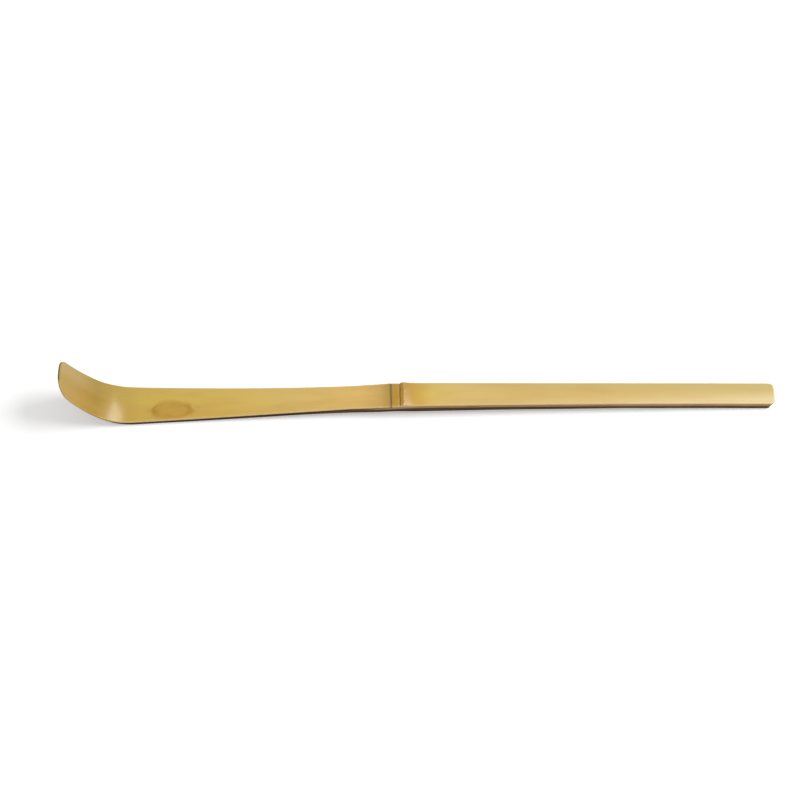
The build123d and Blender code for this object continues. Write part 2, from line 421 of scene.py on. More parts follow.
@dataclass
class Block:
    """A closed block of the strip between two surfaces, with carved sides.

    Args:
        name: The piece's name.
        top: Height of the upper surface at a run and y.
        bottom: Height of the lower surface.
        rings: The side from the top down, each ring by how far it lies inside the outline and by
            its height, as functions of run and y on the outline.
        tone_of: The tone that the finish reads, from run, y and depth under the skin.
        brim: Height from which the way down the side counts.
    """

    name: str
    top: Height
    bottom: Height
    rings: list[Ring]
    tone_of: Callable[[Array, Array, Array], Array]
    brim: Height

    def build(self, plan: Plan, lift: Callable[[Array, Array, Array], Array]) -> bpy.types.Object:
        """The block's mesh: an upper grid, a wall of rings round it and a lower grid.

        Args:
            plan: The outline of the strip's sides.
            lift: Puts (run, y, height) in its place, in metres.

        Returns:
            The piece.
        """
        inward = plan.inward()
        surface = Surface()

        def add(flat: Array, height: Array, rim: Array) -> None:
            """Adds one grid or ring.

            Args:
                flat: Its places (run, y).
                height: Their heights over the skin line.
                rim: Their way in from the free edge, less their way down from it.
            """
            run, y = flat[..., 0], flat[..., 1]
            grain = np.stack([run, y, -height], axis=-1)
            surface.add(lift(run, y, height), grain, self.tone_of(run, y, -height), rim)

        first_inset, last_inset = self.rings[0][0], self.rings[-1][0]
        top_plan, bottom_plan = plan.inset(inward, first_inset), plan.inset(inward, last_inset)
        top_flat, bottom_flat = top_plan.patch(), bottom_plan.patch()
        rows, columns = top_flat.shape[:2]
        add(top_flat, self.top(top_flat[..., 0], top_flat[..., 1]), plan.reach(top_flat))
        outline = plan.around()
        brim = self.brim(outline[:, 0], outline[:, 1])
        for inset, height in self.rings[1:-1]:
            flat = plan.inset(inward, inset).around()
            level = height(outline[:, 0], outline[:, 1])
            rim = inset(outline[:, 0], outline[:, 1]) + np.minimum(level - brim, 0)
            level = self.fill_cuts(plan, flat, level)
            add(flat, level, rim)
        bottom_level = self.bottom(bottom_flat[..., 0], bottom_flat[..., 1])
        add(bottom_flat, bottom_level, bottom_level)

        grid, ring = rows * columns, len(outline)
        last = grid + ring * (len(self.rings) - 2)
        rims = [grid_rim(rows, columns, 0)]
        rims += [grid + step * ring + np.arange(ring) for step in range(len(self.rings) - 2)]
        rims += [grid_rim(rows, columns, last)]
        walls = [
            np.stack([upper, lower, np.roll(lower, -1), np.roll(upper, -1)], axis=-1)
            for upper, lower in zip(rims, rims[1:])
        ]
        quads = np.concatenate(
            [grid_quads(rows, columns, 0), *walls, grid_quads(rows, columns, last)[:, ::-1]]
        )
        piece = make_mesh(self.name, np.concatenate(surface.points), quads)
        paint(piece, "grain", np.concatenate(surface.grain))
        paint(piece, "tone", np.concatenate(surface.tone))
        paint(piece, "rim", np.concatenate(surface.rim))
        return piece

    def fill_cuts(self, plan: Plan, flat: Array, level: Array) -> Array:
        """Heights with those on the cut faces spread evenly from the upper to the lower surface.

        Args:
            plan: The outline.
            flat: One ring's places (run, y).
            level: The ring's heights, right on the free edges.

        Returns:
            Heights that keep each cut face flat and whole.
        """
        rows, inner = len(plan.near), len(plan.start) - 2
        filled = level.copy()
        for is_cut, corners, span in (
            (plan.end_cut, (rows - 1, rows + inner), slice(rows, rows + inner)),
            (plan.start_cut, (0, 2 * rows + inner - 1), slice(2 * rows + inner, None)),
        ):
            if not is_cut:
                continue
            near, far = corners
            upper = self.top(flat[:, 0], flat[:, 1])
            lower = self.bottom(flat[:, 0], flat[:, 1])
            share = np.mean([(upper - level)[c] / (upper - lower)[c] for c in (near, far)])
            filled[span] = between(upper, lower, np.clip(share, 0, 1))[span]
        return filled


def paint(piece: bpy.types.Object, name: str, values: Array) -> None:
    """Stores a value at each corner of a piece, for its finish to read.

    Args:
        piece: The mesh object.
        name: The attribute's name.
        values: One number or three for each corner.
    """
    is_vector = values.ndim == 2
    kind, key = ("FLOAT_VECTOR", "vector") if is_vector else ("FLOAT", "value")
    attribute = piece.data.attributes.new(name, kind, "POINT")
    attribute.data.foreach_set(key, values.astype(np.float32).ravel())


class Tone(Enum):
    """What the flesh finish shows, by the tone stored at a corner."""

    # Painted light: the head's shaved rim faces down and away from the lamps, and takes a pale colour so
    # that it looks lit.
    PAINTED_LIGHT_SHAVED_RIM = 0.0
    UPRIGHT_SIDE = 0.25
    BACK = 0.5
    # Painted shade: the lower side's dark tone stands in for the shade it lies in, facing down and away
    # from the lamps.
    LOWER_SIDE = 1.0


@dataclass(frozen=True)
class Strip:
    """The strip's driving sizes and its skin line, in millimetres and degrees.

    The skin line starts at the heel. Towards the tip it is a tight bend and then a long round, and
    towards the handle a very long round up to the scar that the sheath leaves on the node.
    """

    culm_radius: float = 40.0
    tip_crown_radius: float = 75.0
    rind_thickness: float = 0.28
    bend_radius: float = 13.75
    bend_angle: float = 41.0
    tip_radius: float = 40.0
    tip_angle: float = 19.25
    shaft_radius: float = 890.0
    shaft_length: float = 65.8
    handle_length: float = 97.3
    handle_step: float = 0.21
    handle_bow: float = 0.18
    rest_flat_length: float = 38.0
    tip_width: float = 10.25
    tip_taper_power: float = 2.0
    shoulder_width: float = 11.3
    shoulder_run: float = 3.8
    waist_width: float = 7.13
    waist_to_scar: float = 10.6
    node_width: float = 7.38
    end_width: float = 6.47
    shaft_taper_power: float = 1.36
    handle_taper_power: float = 2.8
    tip_thickness: float = 0.56
    bend_thickness: float = 0.8
    heel_thickness: float = 1.72
    shaft_thickness: float = 1.79
    scar_thickness: float = 2.65
    grip_thickness: float = 3.2
    end_thickness: float = 2.5
    thickening_run: float = 42.0
    tip_edge_round: float = 0.1
    edge_round: float = 0.25
    tip_side_height: float = 0.1
    heel_side_height: float = 0.2
    handle_side_height: float = 0.9
    lean_angle: float = 12.0
    tip_lean_angle: float = 55.0
    end_lean_angle: float = 36.0
    back_round: float = 0.12
    facet_bevel: float = 0.05
    # Drops under the skin's edge over which the sides turn dark brown, which is painted shade.
    painted_shade_side: tuple[float, float] = (1.0, 1.25)
    lip_reach: float = 2.4
    ridge_reach: float = 7.0
    ring_depth: float = 0.5
    ripple_depth: float = 0.016
    ripple_cell: tuple[float, float] = (11.0, 2.6)
    facet_depth: float = 0.06
    facet_length: tuple[float, float] = (6.0, 15.0)
    facet_count: int = 20
    shift: tuple[float, float] = (0.0, 0.0)

    @property
    def bend_run(self) -> float:
        """Length of the skin line along the tight bend."""
        return self.bend_radius * np.radians(self.bend_angle)

    @property
    def tip_run(self) -> float:
        """Length of the skin line from the heel to the tip."""
        return self.bend_run + self.tip_radius * np.radians(self.tip_angle)

    @property
    def scar_x(self) -> float:
        """How far along the strip the scar lies from the heel."""
        return self.shaft_radius * np.sin(self.shaft_length / self.shaft_radius)

    @property
    def scar_z(self) -> float:
        """Height of the skin at the scar over the heel's skin."""
        return self.shaft_radius * (1 - np.cos(self.shaft_length / self.shaft_radius))

    @property
    def node_start(self) -> float:
        """Where the node's blocks start, along X."""
        return self.scar_x - self.lip_reach

    @property
    def node_end(self) -> float:
        """Where the node's blocks end, along X."""
        return self.scar_x + self.ridge_reach

    @property
    def end_x(self) -> float:
        """Where the handle ends, along X."""
        return self.scar_x + self.handle_length

    @property
    def floor_z(self) -> float:
        """Height of what the scoop lies on, under the heel."""
        return -self.heel_thickness

    def scoop_width(self, run: Array) -> Array:
        """Width of the skin face between the tip and the scar.

        It tapers by a power from the shoulder to the tip and to the waist, and widens again to the
        node.

        Args:
            run: Places along the strip from the heel, below zero towards the tip.

        Returns:
            The width at each place.
        """
        waist_run = self.shaft_length - self.waist_to_scar
        tip_share = (-run - self.shoulder_run) / (self.tip_run - self.shoulder_run)
        tip_share = np.clip(tip_share, 0, 1) ** self.tip_taper_power
        tip = between(self.shoulder_width, self.tip_width, tip_share)
        left = 1 - np.clip((run + self.shoulder_run) / (waist_run + self.shoulder_run), 0, 1)
        shaft = between(self.waist_width, self.shoulder_width, left**self.shaft_taper_power)
        node = eased(self.waist_width, self.node_width, (run - waist_run) / self.waist_to_scar)
        return np.where(run <= -self.shoulder_run, tip, np.where(run <= waist_run, shaft, node))

    def handle_width(self, x: Array) -> Array:
        """Width of the skin face from the scar to the end, narrowing by a power."""
        share = np.clip((x - self.scar_x) / self.handle_length, 0, 1)
        return between(self.end_width, self.node_width, (1 - share) ** self.handle_taper_power)

    def scoop_thickness(self, run: Array) -> Array:
        """Thickness of the strip between the tip and the scar.

        From the tip on it grows evenly over the head, eased over the bend, evenly along most of
        the shaft, and eased to the scar.

        Args:
            run: Places along the strip from the heel, below zero towards the tip.

        Returns:
            The thickness at each place.
        """
        tip_share = (-run - self.bend_run) / (self.tip_run - self.bend_run)
        tip = between(self.bend_thickness, self.tip_thickness, tip_share)
        bend = eased(self.heel_thickness, self.bend_thickness, -run / self.bend_run)
        shaft = between(self.heel_thickness, self.shaft_thickness, run / self.thickening_run)
        grip_share = (run - self.thickening_run) / (self.shaft_length - self.thickening_run)
        grip = eased(self.shaft_thickness, self.scar_thickness, grip_share)
        places = [run <= -self.bend_run, run <= 0, run <= self.thickening_run]
        return np.select(places, [tip, bend, shaft], grip)

    def handle_skin(self, x: Array) -> Array:
        """Height of the skin along the handle: a straight fall to the end, and a bow of 4 times
        its height, times the share of the way, times what is left of it.

        Args:
            x: Places along X.

        Returns:
            Heights over the heel's skin.
        """
        share = (x - self.node_end) / (self.end_x - self.node_end)
        straight = between(self.scar_z + self.handle_step, self.floor_z + self.end_thickness, share)
        return straight + 4 * self.handle_bow * share * (1 - share)

    def ripple(self, run: Array, y: Array) -> Array:
        """The scraped skin's slight unevenness, in long shallow strokes."""
        return self.ripple_depth * soft_noise(run, y, self.ripple_cell, seed=3)

    def facets(self, run: Array, y: Array) -> Array:
        """How deep the knife went along the sides: flat strokes of uneven length that meet at
        faint corners, others on the near side than on the far side.

        Args:
            run: Places along the strip.
            y: Places across it, whose sign is the side.

        Returns:
            The depth at each place.
        """
        depth = np.zeros_like(run)
        for seed, is_side in ((11, y < 0), (12, y >= 0)):
            dice = np.random.default_rng(seed)
            lengths = dice.uniform(*self.facet_length, self.facet_count)
            knots = np.cumsum(lengths) - 2 * self.tip_run
            cuts = dice.uniform(0, self.facet_depth, self.facet_count)
            depth = np.where(is_side, np.interp(run, knots, cuts), depth)
        return depth


@dataclass(frozen=True)
class Stretch:
    """A stretch of the strip, and what its rind and its flesh have in common.

    Args:
        strip: The strip's sizes.
        round_rings: How many rings the skin's sanded edge has.
        rind_shares: The rings down the rind's side, as shares of the way to its underside.
        upright_levels: The rings of the flesh's upright side, by their heights over its foot.
        lower_shares: The rings of its lower side, as shares of the way to the back's round.
        back_turns: The rings of that round, by how far round it they lie, in degrees.
        least_step: The least height between two rings.
        back_margin: Points up to this far over the back belong to it.
    """

    strip: Strip
    round_rings: int = 7
    rind_shares: tuple[float, ...] = (0.5, 1.0)
    upright_levels: tuple[float, ...] = (0.5, 0.2)
    lower_shares: tuple[float, ...] = (0.1, 0.5, 1.0)
    back_turns: tuple[float, ...] = (30.0, 60.0, 90.0)
    least_step: float = 0.01
    back_margin: float = 0.012

    def place(self, run: Array) -> Place:
        """The skin line's x, z and lean at a run, without the node's relief."""
        raise NotImplementedError

    def width(self, run: Array) -> Array:
        """Width of the skin face."""
        raise NotImplementedError

    def back(self, run: Array, y: Array) -> Array:
        """Height of the back over the skin line."""
        raise NotImplementedError

    def plan(self) -> Plan:
        """The stretch's outline."""
        raise NotImplementedError

    def skin(self, run: Array, y: Array) -> Array:
        """Height of the skin over the skin line: its round across the strip and its ripple."""
        return -drop_at(self.crown_radius(run), y) + self.strip.ripple(run, y)

    def rind_floor(self, run: Array, y: Array) -> Array:
        """Height of the rind's underside, a round inside the skin's by the rind's thickness."""
        thickness = self.strip.rind_thickness
        return -thickness - drop_at(self.crown_radius(run) - thickness, y)

    def crown_radius(self, run: Array) -> Array:
        """Radius of the skin's round across the strip."""
        return np.full_like(run, self.strip.culm_radius)

    def edge_round(self, run: Array, y: Array) -> Array:
        """Radius of the skin's sanded edge."""
        return np.full_like(run, self.strip.edge_round)

    def side_height(self, run: Array) -> Array:
        """Height of the upright side."""
        return np.full_like(run, self.strip.handle_side_height)

    def lean(self, run: Array) -> Array:
        """How far the lower side leans in, in degrees."""
        return np.full_like(run, self.strip.lean_angle)

    def lift(self, run: Array, y: Array, height: Array) -> Array:
        """Puts points in their place: out from the skin line, square to it.

        Args:
            run: Places along the strip.
            y: Places across it.
            height: Heights over the skin line.

        Returns:
            Points in metres in the frame's own place.
        """
        x, z, lean = self.place(run)
        shift_x, shift_z = self.strip.shift
        points = [x - height * np.sin(lean) + shift_x, y, z + height * np.cos(lean) + shift_z]
        return np.stack(points, axis=-1) * MM

    def edge(self, run: Array, y: Array) -> Array:
        """Height where the skin's sanded edge starts, on a side whose outline lies at y."""
        inner = np.sign(y) * np.maximum(np.abs(y) - self.edge_round(run, y), 0)
        return self.skin(run, inner)

    def brim(self, run: Array, y: Array) -> Array:
        """Height of the skin's edge without the node's rings, which the sides' colours go by."""
        return self.edge(run, y)

    def foot(self, run: Array, y: Array) -> Array:
        """Height of the upright side's foot: under the sanded edge by the side's height.

        Args:
            run: Places along the strip.
            y: Where the outline lies there.

        Returns:
            Heights over the skin line.
        """
        round_radius = self.edge_round(run, y)
        inner = np.maximum(np.abs(y) - round_radius, 0)
        return -drop_at(self.crown_radius(run), inner) - round_radius - self.side_height(run)

    def carved(self, run: Array, y: Array, height: Array) -> Array:
        """How far the side lies inside the outline: the way down from the foot times the tangent
        of the lean, and the knife's strokes, which come in over a small bevel.

        Args:
            run: Places along the strip.
            y: Where the outline lies there.
            height: Heights over the skin line.

        Returns:
            The way in at each place.
        """
        under = np.maximum(self.foot(run, y) - height, 0)
        stroke = self.strip.facets(run, y)
        share = np.clip(under / self.strip.facet_bevel, 0, 1)
        return under * np.tan(np.radians(self.lean(run))) + stroke * share

    def rind_rings(self) -> list[Ring]:
        """The rind's side: a quarter round under the skin, then upright to the flesh.

        Returns:
            The rings from the top down.
        """
        turns = np.linspace(0, np.pi / 2, self.round_rings)
        rings = [self.round_ring(float(np.sin(turn)), float(np.cos(turn))) for turn in turns]
        return rings + [self.side_ring(share) for share in self.rind_shares]

    def round_ring(self, out: float, up: float) -> Ring:
        """One ring of the sanded edge.

        Args:
            out: How far out it lies on the quarter round, from 0 to 1.
            up: How far up, from 0 to 1.

        Returns:
            The ring's inset and height.
        """

        def inset(run: Array, y: Array) -> Array:
            """How far inside the outline the ring lies."""
            return self.edge_round(run, y) * (1 - out)

        def height(run: Array, y: Array) -> Array:
            """The ring's height."""
            return self.edge(run, y) - self.edge_round(run, y) * (1 - up)

        return inset, height

    def side_ring(self, share: float) -> Ring:
        """One ring between the sanded edge and the rind's underside.

        Args:
            share: Its share of the way down.

        Returns:
            The ring's inset and height.
        """

        def height(run: Array, y: Array) -> Array:
            """The ring's height."""
            upper = self.edge(run, y) - self.edge_round(run, y)
            return between(upper, self.rind_floor(run, y), share)

        def inset(run: Array, y: Array) -> Array:
            """How far inside the outline the ring lies."""
            return self.carved(run, y, height(run, y))

        return inset, height

    def flesh_rings(self) -> list[Ring]:
        """The flesh's side: upright to the foot, leaning in under it, and rounded to the back.

        Returns:
            The rings from the top down.
        """
        levels = (*self.upright_levels, self.strip.facet_bevel, 0.0)
        rings = [self.side_ring(1.0)]
        rings += [self.lower_ring(above, 0.0, 0.0) for above in levels]
        rings += [self.lower_ring(0.0, share, 0.0) for share in self.lower_shares]
        rings += [self.lower_ring(0.0, 1.0, turn) for turn in self.back_turns]
        return rings

    def lower_ring(self, above: float, share: float, turn: float) -> Ring:
        """One ring of the flesh's side.

        Args:
            above: How far over the foot it lies.
            share: Its share of the way from the foot to the back's rounded edge.
            turn: How far round that edge it lies, in degrees.

        Returns:
            The ring's inset and height.
        """
        radius = self.strip.back_round
        round_turn = np.radians(turn)

        def side(run: Array, y: Array) -> Array:
            """The height before the back's rounded edge, a little under the rind at the most, and
            the further under it the lower the ring, so that no two rings meet.

            Args:
                run: Places along the strip.
                y: Where the outline lies there.

            Returns:
                Heights over the skin line.
            """
            highest = self.rind_floor(run, y) - self.least_step * (2 - above)
            upper = np.minimum(self.foot(run, y) + above, highest)
            lower = np.minimum(self.back(run, y) + radius, upper - self.least_step)
            return between(upper, lower, share)

        def height(run: Array, y: Array) -> Array:
            """The ring's height."""
            level = side(run, y)
            return level - (level - self.back(run, y)) * np.sin(round_turn)

        def inset(run: Array, y: Array) -> Array:
            """How far inside the outline the ring lies."""
            return self.carved(run, y, side(run, y)) + radius * (1 - np.cos(round_turn))

        return inset, height

    def skin_tone(self, run: Array, y: Array, depth: Array) -> Array:
        """How dark the skin is stained or scorched, from 0 to 1; none along most of the strip."""
        return np.zeros_like(run)

    def flesh_tone(self, run: Array, y: Array, depth: Array) -> Array:
        """Which finish the flesh shows: the upright side, the lower side or the back.

        Args:
            run: Places along the strip.
            y: Places across it.
            depth: Depths under the skin line.

        Returns:
            A tone from those that Tone names, or one between two of them.
        """
        drop = depth + self.brim(run, y)
        upper = between(Tone.LOWER_SIDE.value, Tone.UPRIGHT_SIDE.value, self.pale_side(run))
        # Below the edge, over these two drops, the side turns dark brown, which is painted shade.
        dark_from, dark_at = self.strip.painted_shade_side
        darkness = np.clip((drop - dark_from) / (dark_at - dark_from), 0, 1)
        tone = between(upper, Tone.LOWER_SIDE.value, darkness)
        return np.where(self.on_back(run, y, depth), Tone.BACK.value, tone)

    def on_back(self, run: Array, y: Array, depth: Array) -> Array:
        """Whether points belong to the back."""
        return depth > -self.back(run, y) - self.back_margin

    def pale_side(self, run: Array) -> Array:
        """How pale the upright side is under the rind, from 0 to 1."""
        return np.ones_like(run)

    def build(self, rind_name: str, flesh_name: str) -> tuple[bpy.types.Object, bpy.types.Object]:
        """Makes the stretch's two blocks.

        Args:
            rind_name: The upper piece's name.
            flesh_name: The lower piece's name.

        Returns:
            The rind and the flesh.
        """
        plan = self.plan()
        rind = Block(
            rind_name, self.skin, self.rind_floor, self.rind_rings(), self.skin_tone, self.brim
        )
        flesh = Block(
            flesh_name, self.rind_floor, self.back, self.flesh_rings(), self.flesh_tone, self.brim
        )
        return rind.build(plan, self.lift), flesh.build(plan, self.lift)

    def cut_edge(self, run: float, shares: Array) -> Array:
        """A straight edge across the strip.

        Args:
            run: Where it lies.
            shares: Its points' shares of the width, from the near side.

        Returns:
            Points (run, y).
        """
        half = self.width(np.array([run]))[0] / 2
        return np.stack([np.full_like(shares, run), between(-half, half, shares)], axis=1)

    def side_edge(self, runs: Array, side: float) -> Array:
        """A side's outline at some runs, on the near side at -1 or the far side at 1."""
        return np.stack([runs, side * self.width(runs) / 2], axis=1)

    def onto_strip(self, points: Array, end: float, inwards: float, end_width: float) -> Array:
        """Points of a rounded end put on the strip, and narrowed or widened with its sides.

        Args:
            points: Points (distance from the end, y).
            end: The run of the end.
            inwards: 1 where the run grows from the end on, and -1 where it falls.
            end_width: The width that the end is drawn for.

        Returns:
            Points (run, y).
        """
        run = end + inwards * points[:, 0]
        return np.stack([run, points[:, 1] * self.width(run) / end_width], axis=1)


@dataclass(frozen=True)
class Scoop(Stretch):
    """The bent, thinned scoop and the shaft behind it, up to the node."""

    upright_run: float = 12.0
    heel_ease: float = 2.6
    heel_shift: float = 0.07
    bend_ease: float = 2.0
    table_step: float = 0.01
    pale_side_run: float = 9.0
    dark_rim_run: float = -3.5
    dark_rim_ease: float = 2.5
    end_face_reach: float = 1.3
    # A darker line along the tip's end edge: how far in it reaches, and the span across the tip where it
    # shows.
    dark_line_reach: float = 0.8
    dark_end_span: tuple[float, float] = (-2.6, -1.2)
    fine_run: float = 4.0
    far_corner_radius: float = 3.0
    near_corner_radius: float = 4.7
    tip_bow_radius: float = 10.5
    bend_rows: int = 105
    shaft_rows: int = 140

    def cut_run(self) -> float:
        """Where the skin line meets the node's blocks."""
        strip = self.strip
        return strip.shaft_radius * np.arcsin(strip.node_start / strip.shaft_radius)

    def place(self, run: Array) -> Place:
        """The skin line: an arc for each stretch, whose roundness eases into the next one's.

        The roundness is summed to the line's angle, and the angle's sine and cosine to its place,
        in a table that ends at the scar. The sections stand square to the line, and turn upright
        before the node.

        Args:
            run: Places along the line from the heel, below zero towards the tip.

        Returns:
            The line's x and z, and the sections' lean in radians.
        """
        strip = self.strip
        table = np.arange(-strip.tip_run, strip.shaft_length, self.table_step)
        heel = (table + self.heel_shift + self.heel_ease) / (2 * self.heel_ease)
        bend = eased(1 / strip.bend_radius, 1 / strip.shaft_radius, heel)
        tip = (table + strip.bend_run + self.bend_ease) / (2 * self.bend_ease)
        turn = np.where(tip < 1, eased(1 / strip.tip_radius, 1 / strip.bend_radius, tip), bend)
        angle = self.summed(turn, strip.shaft_length / strip.shaft_radius)
        x = self.summed(np.cos(angle), strip.scar_x)
        z = self.summed(np.sin(angle), strip.scar_z)
        upright = eased(0.0, 1.0, (self.cut_run() - run) / self.upright_run)
        lean = np.interp(run, table, angle) * upright
        return np.interp(run, table, x), np.interp(run, table, z), lean

    def summed(self, rate: Array, last: float) -> Array:
        """A rate summed along the table's runs, so that it comes to a value at the scar."""
        total = np.cumsum(rate) * self.table_step
        return total - total[-1] + last

    def width(self, run: Array) -> Array:
        """Width of the skin face."""
        return self.strip.scoop_width(run)

    def lowest(self) -> float:
        """The lowest height of the back, which the scoop stands on at the heel."""
        runs = np.linspace(-self.strip.tip_run, self.cut_run(), self.bend_rows + self.shaft_rows)
        return float(self.lift(runs, 0 * runs, self.back(runs, 0 * runs))[:, 2].min() / MM)

    def tip_share(self, run: Array) -> Array:
        """How near the tip a run lies, from 0 at the heel to 1."""
        return np.clip(-run / self.strip.tip_run, 0, 1)

    def crown_radius(self, run: Array) -> Array:
        """The skin's round, flatter where the tip was bent and thinned."""
        return eased(self.strip.culm_radius, self.strip.tip_crown_radius, self.tip_share(run))

    def edge_round(self, run: Array, y: Array) -> Array:
        """Radius of the skin's sanded edge, finer towards the tip."""
        return between(self.strip.edge_round, self.strip.tip_edge_round, self.tip_share(run))

    def side_height(self, run: Array) -> Array:
        """Height of the upright side, least at the tip and eased to the handle's at the node.

        Args:
            run: Places along the strip.

        Returns:
            The height at each place.
        """
        strip = self.strip
        tip = between(strip.heel_side_height, strip.tip_side_height, self.tip_share(run))
        shaft = eased(strip.heel_side_height, strip.handle_side_height, run / strip.shaft_length)
        return np.where(run <= 0, tip, shaft)

    def lean(self, run: Array) -> Array:
        """The lower side's lean, most at the tip, whose rim is shaved thin from the back."""
        return between(self.strip.lean_angle, self.strip.tip_lean_angle, self.tip_share(run))

    def skin_tone(self, run: Array, y: Array, depth: Array) -> Array:
        """A darker line along the tip's end edge, up to where the near corner is rounded.

        Args:
            run: Places along the strip.
            y: Places across it.
            depth: Depths under the skin line.

        Returns:
            How dark the skin is, from 0 to 1.
        """
        half = self.strip.tip_width / 2
        edge = drop_at(self.tip_bow_radius, np.clip(y, -half, half))
        line = eased(1.0, 0.0, (run + self.strip.tip_run - edge) / self.dark_line_reach)
        return line * self.dark_end_share(y)

    def dark_end_share(self, y: Array) -> Array:
        """1 along the darker part of the tip's end, and 0 past it."""
        first, last = self.dark_end_span
        return eased(0.0, 1.0, (y - first) / (last - first))

    def pale_side(self, run: Array) -> Array:
        """The upright side is dark along the shaft, which is painted shade, and pale again at the node."""
        return eased(1.0, 0.0, (self.cut_run() - run) / self.pale_side_run)

    def flesh_tone(self, run: Array, y: Array, depth: Array) -> Array:
        """As along the strip, but with the head's shaved rim in a pale colour, which is painted light on a
        rim that faces away from the lamps, and a mid brown end face where the tip's end line is darker.

        Args:
            run: Places along the strip.
            y: Places across it.
            depth: Depths under the skin line.

        Returns:
            A tone from those that Tone names, or one between two of them.
        """
        tone = super().flesh_tone(run, y, depth)
        end = eased(1.0, 0.0, (run + self.strip.tip_run) / self.end_face_reach) * self.dark_end_share(y)
        # The rim's pale tone is painted light; the end face's mid brown goes with the darker line at the
        # tip.
        rim = between(Tone.PAINTED_LIGHT_SHAVED_RIM.value, Tone.BACK.value, end)
        head = eased(tone, rim, (self.dark_rim_run - run) / self.dark_rim_ease)
        return np.where(self.on_back(run, y, depth), tone, head)

    def back(self, run: Array, y: Array) -> Array:
        """The flat back, under the skin line by the strip's thickness."""
        return -self.strip.scoop_thickness(run)

    def plan(self) -> Plan:
        """The tip's rounded end, then both sides to the node.

        Returns:
            The outline, cut at the node.
        """
        width, tip_run = self.strip.tip_width, self.strip.tip_run
        radii = (self.tip_bow_radius, self.near_corner_radius, self.far_corner_radius)
        near_corner, far_corner, tip_edge = RoundedEnd(width / 2, *radii).edges()
        sides = []
        for corner, side in ((near_corner, -1.0), (far_corner, 1.0)):
            heel = np.linspace(corner[0, 0] - tip_run, self.fine_run, self.bend_rows)[1:]
            shaft = np.linspace(heel[-1], self.cut_run(), self.shaft_rows)[1:]
            straight = self.side_edge(np.concatenate([heel, shaft]), side)
            rounded = self.onto_strip(corner[::-1], -tip_run, 1.0, width)
            sides.append(np.concatenate([rounded, straight]))
        tip = self.onto_strip(tip_edge, -tip_run, 1.0, width)
        cut = self.cut_edge(self.cut_run(), shares_across(tip))
        return Plan(sides[0], sides[1], tip, cut, start_cut=False, end_cut=True)


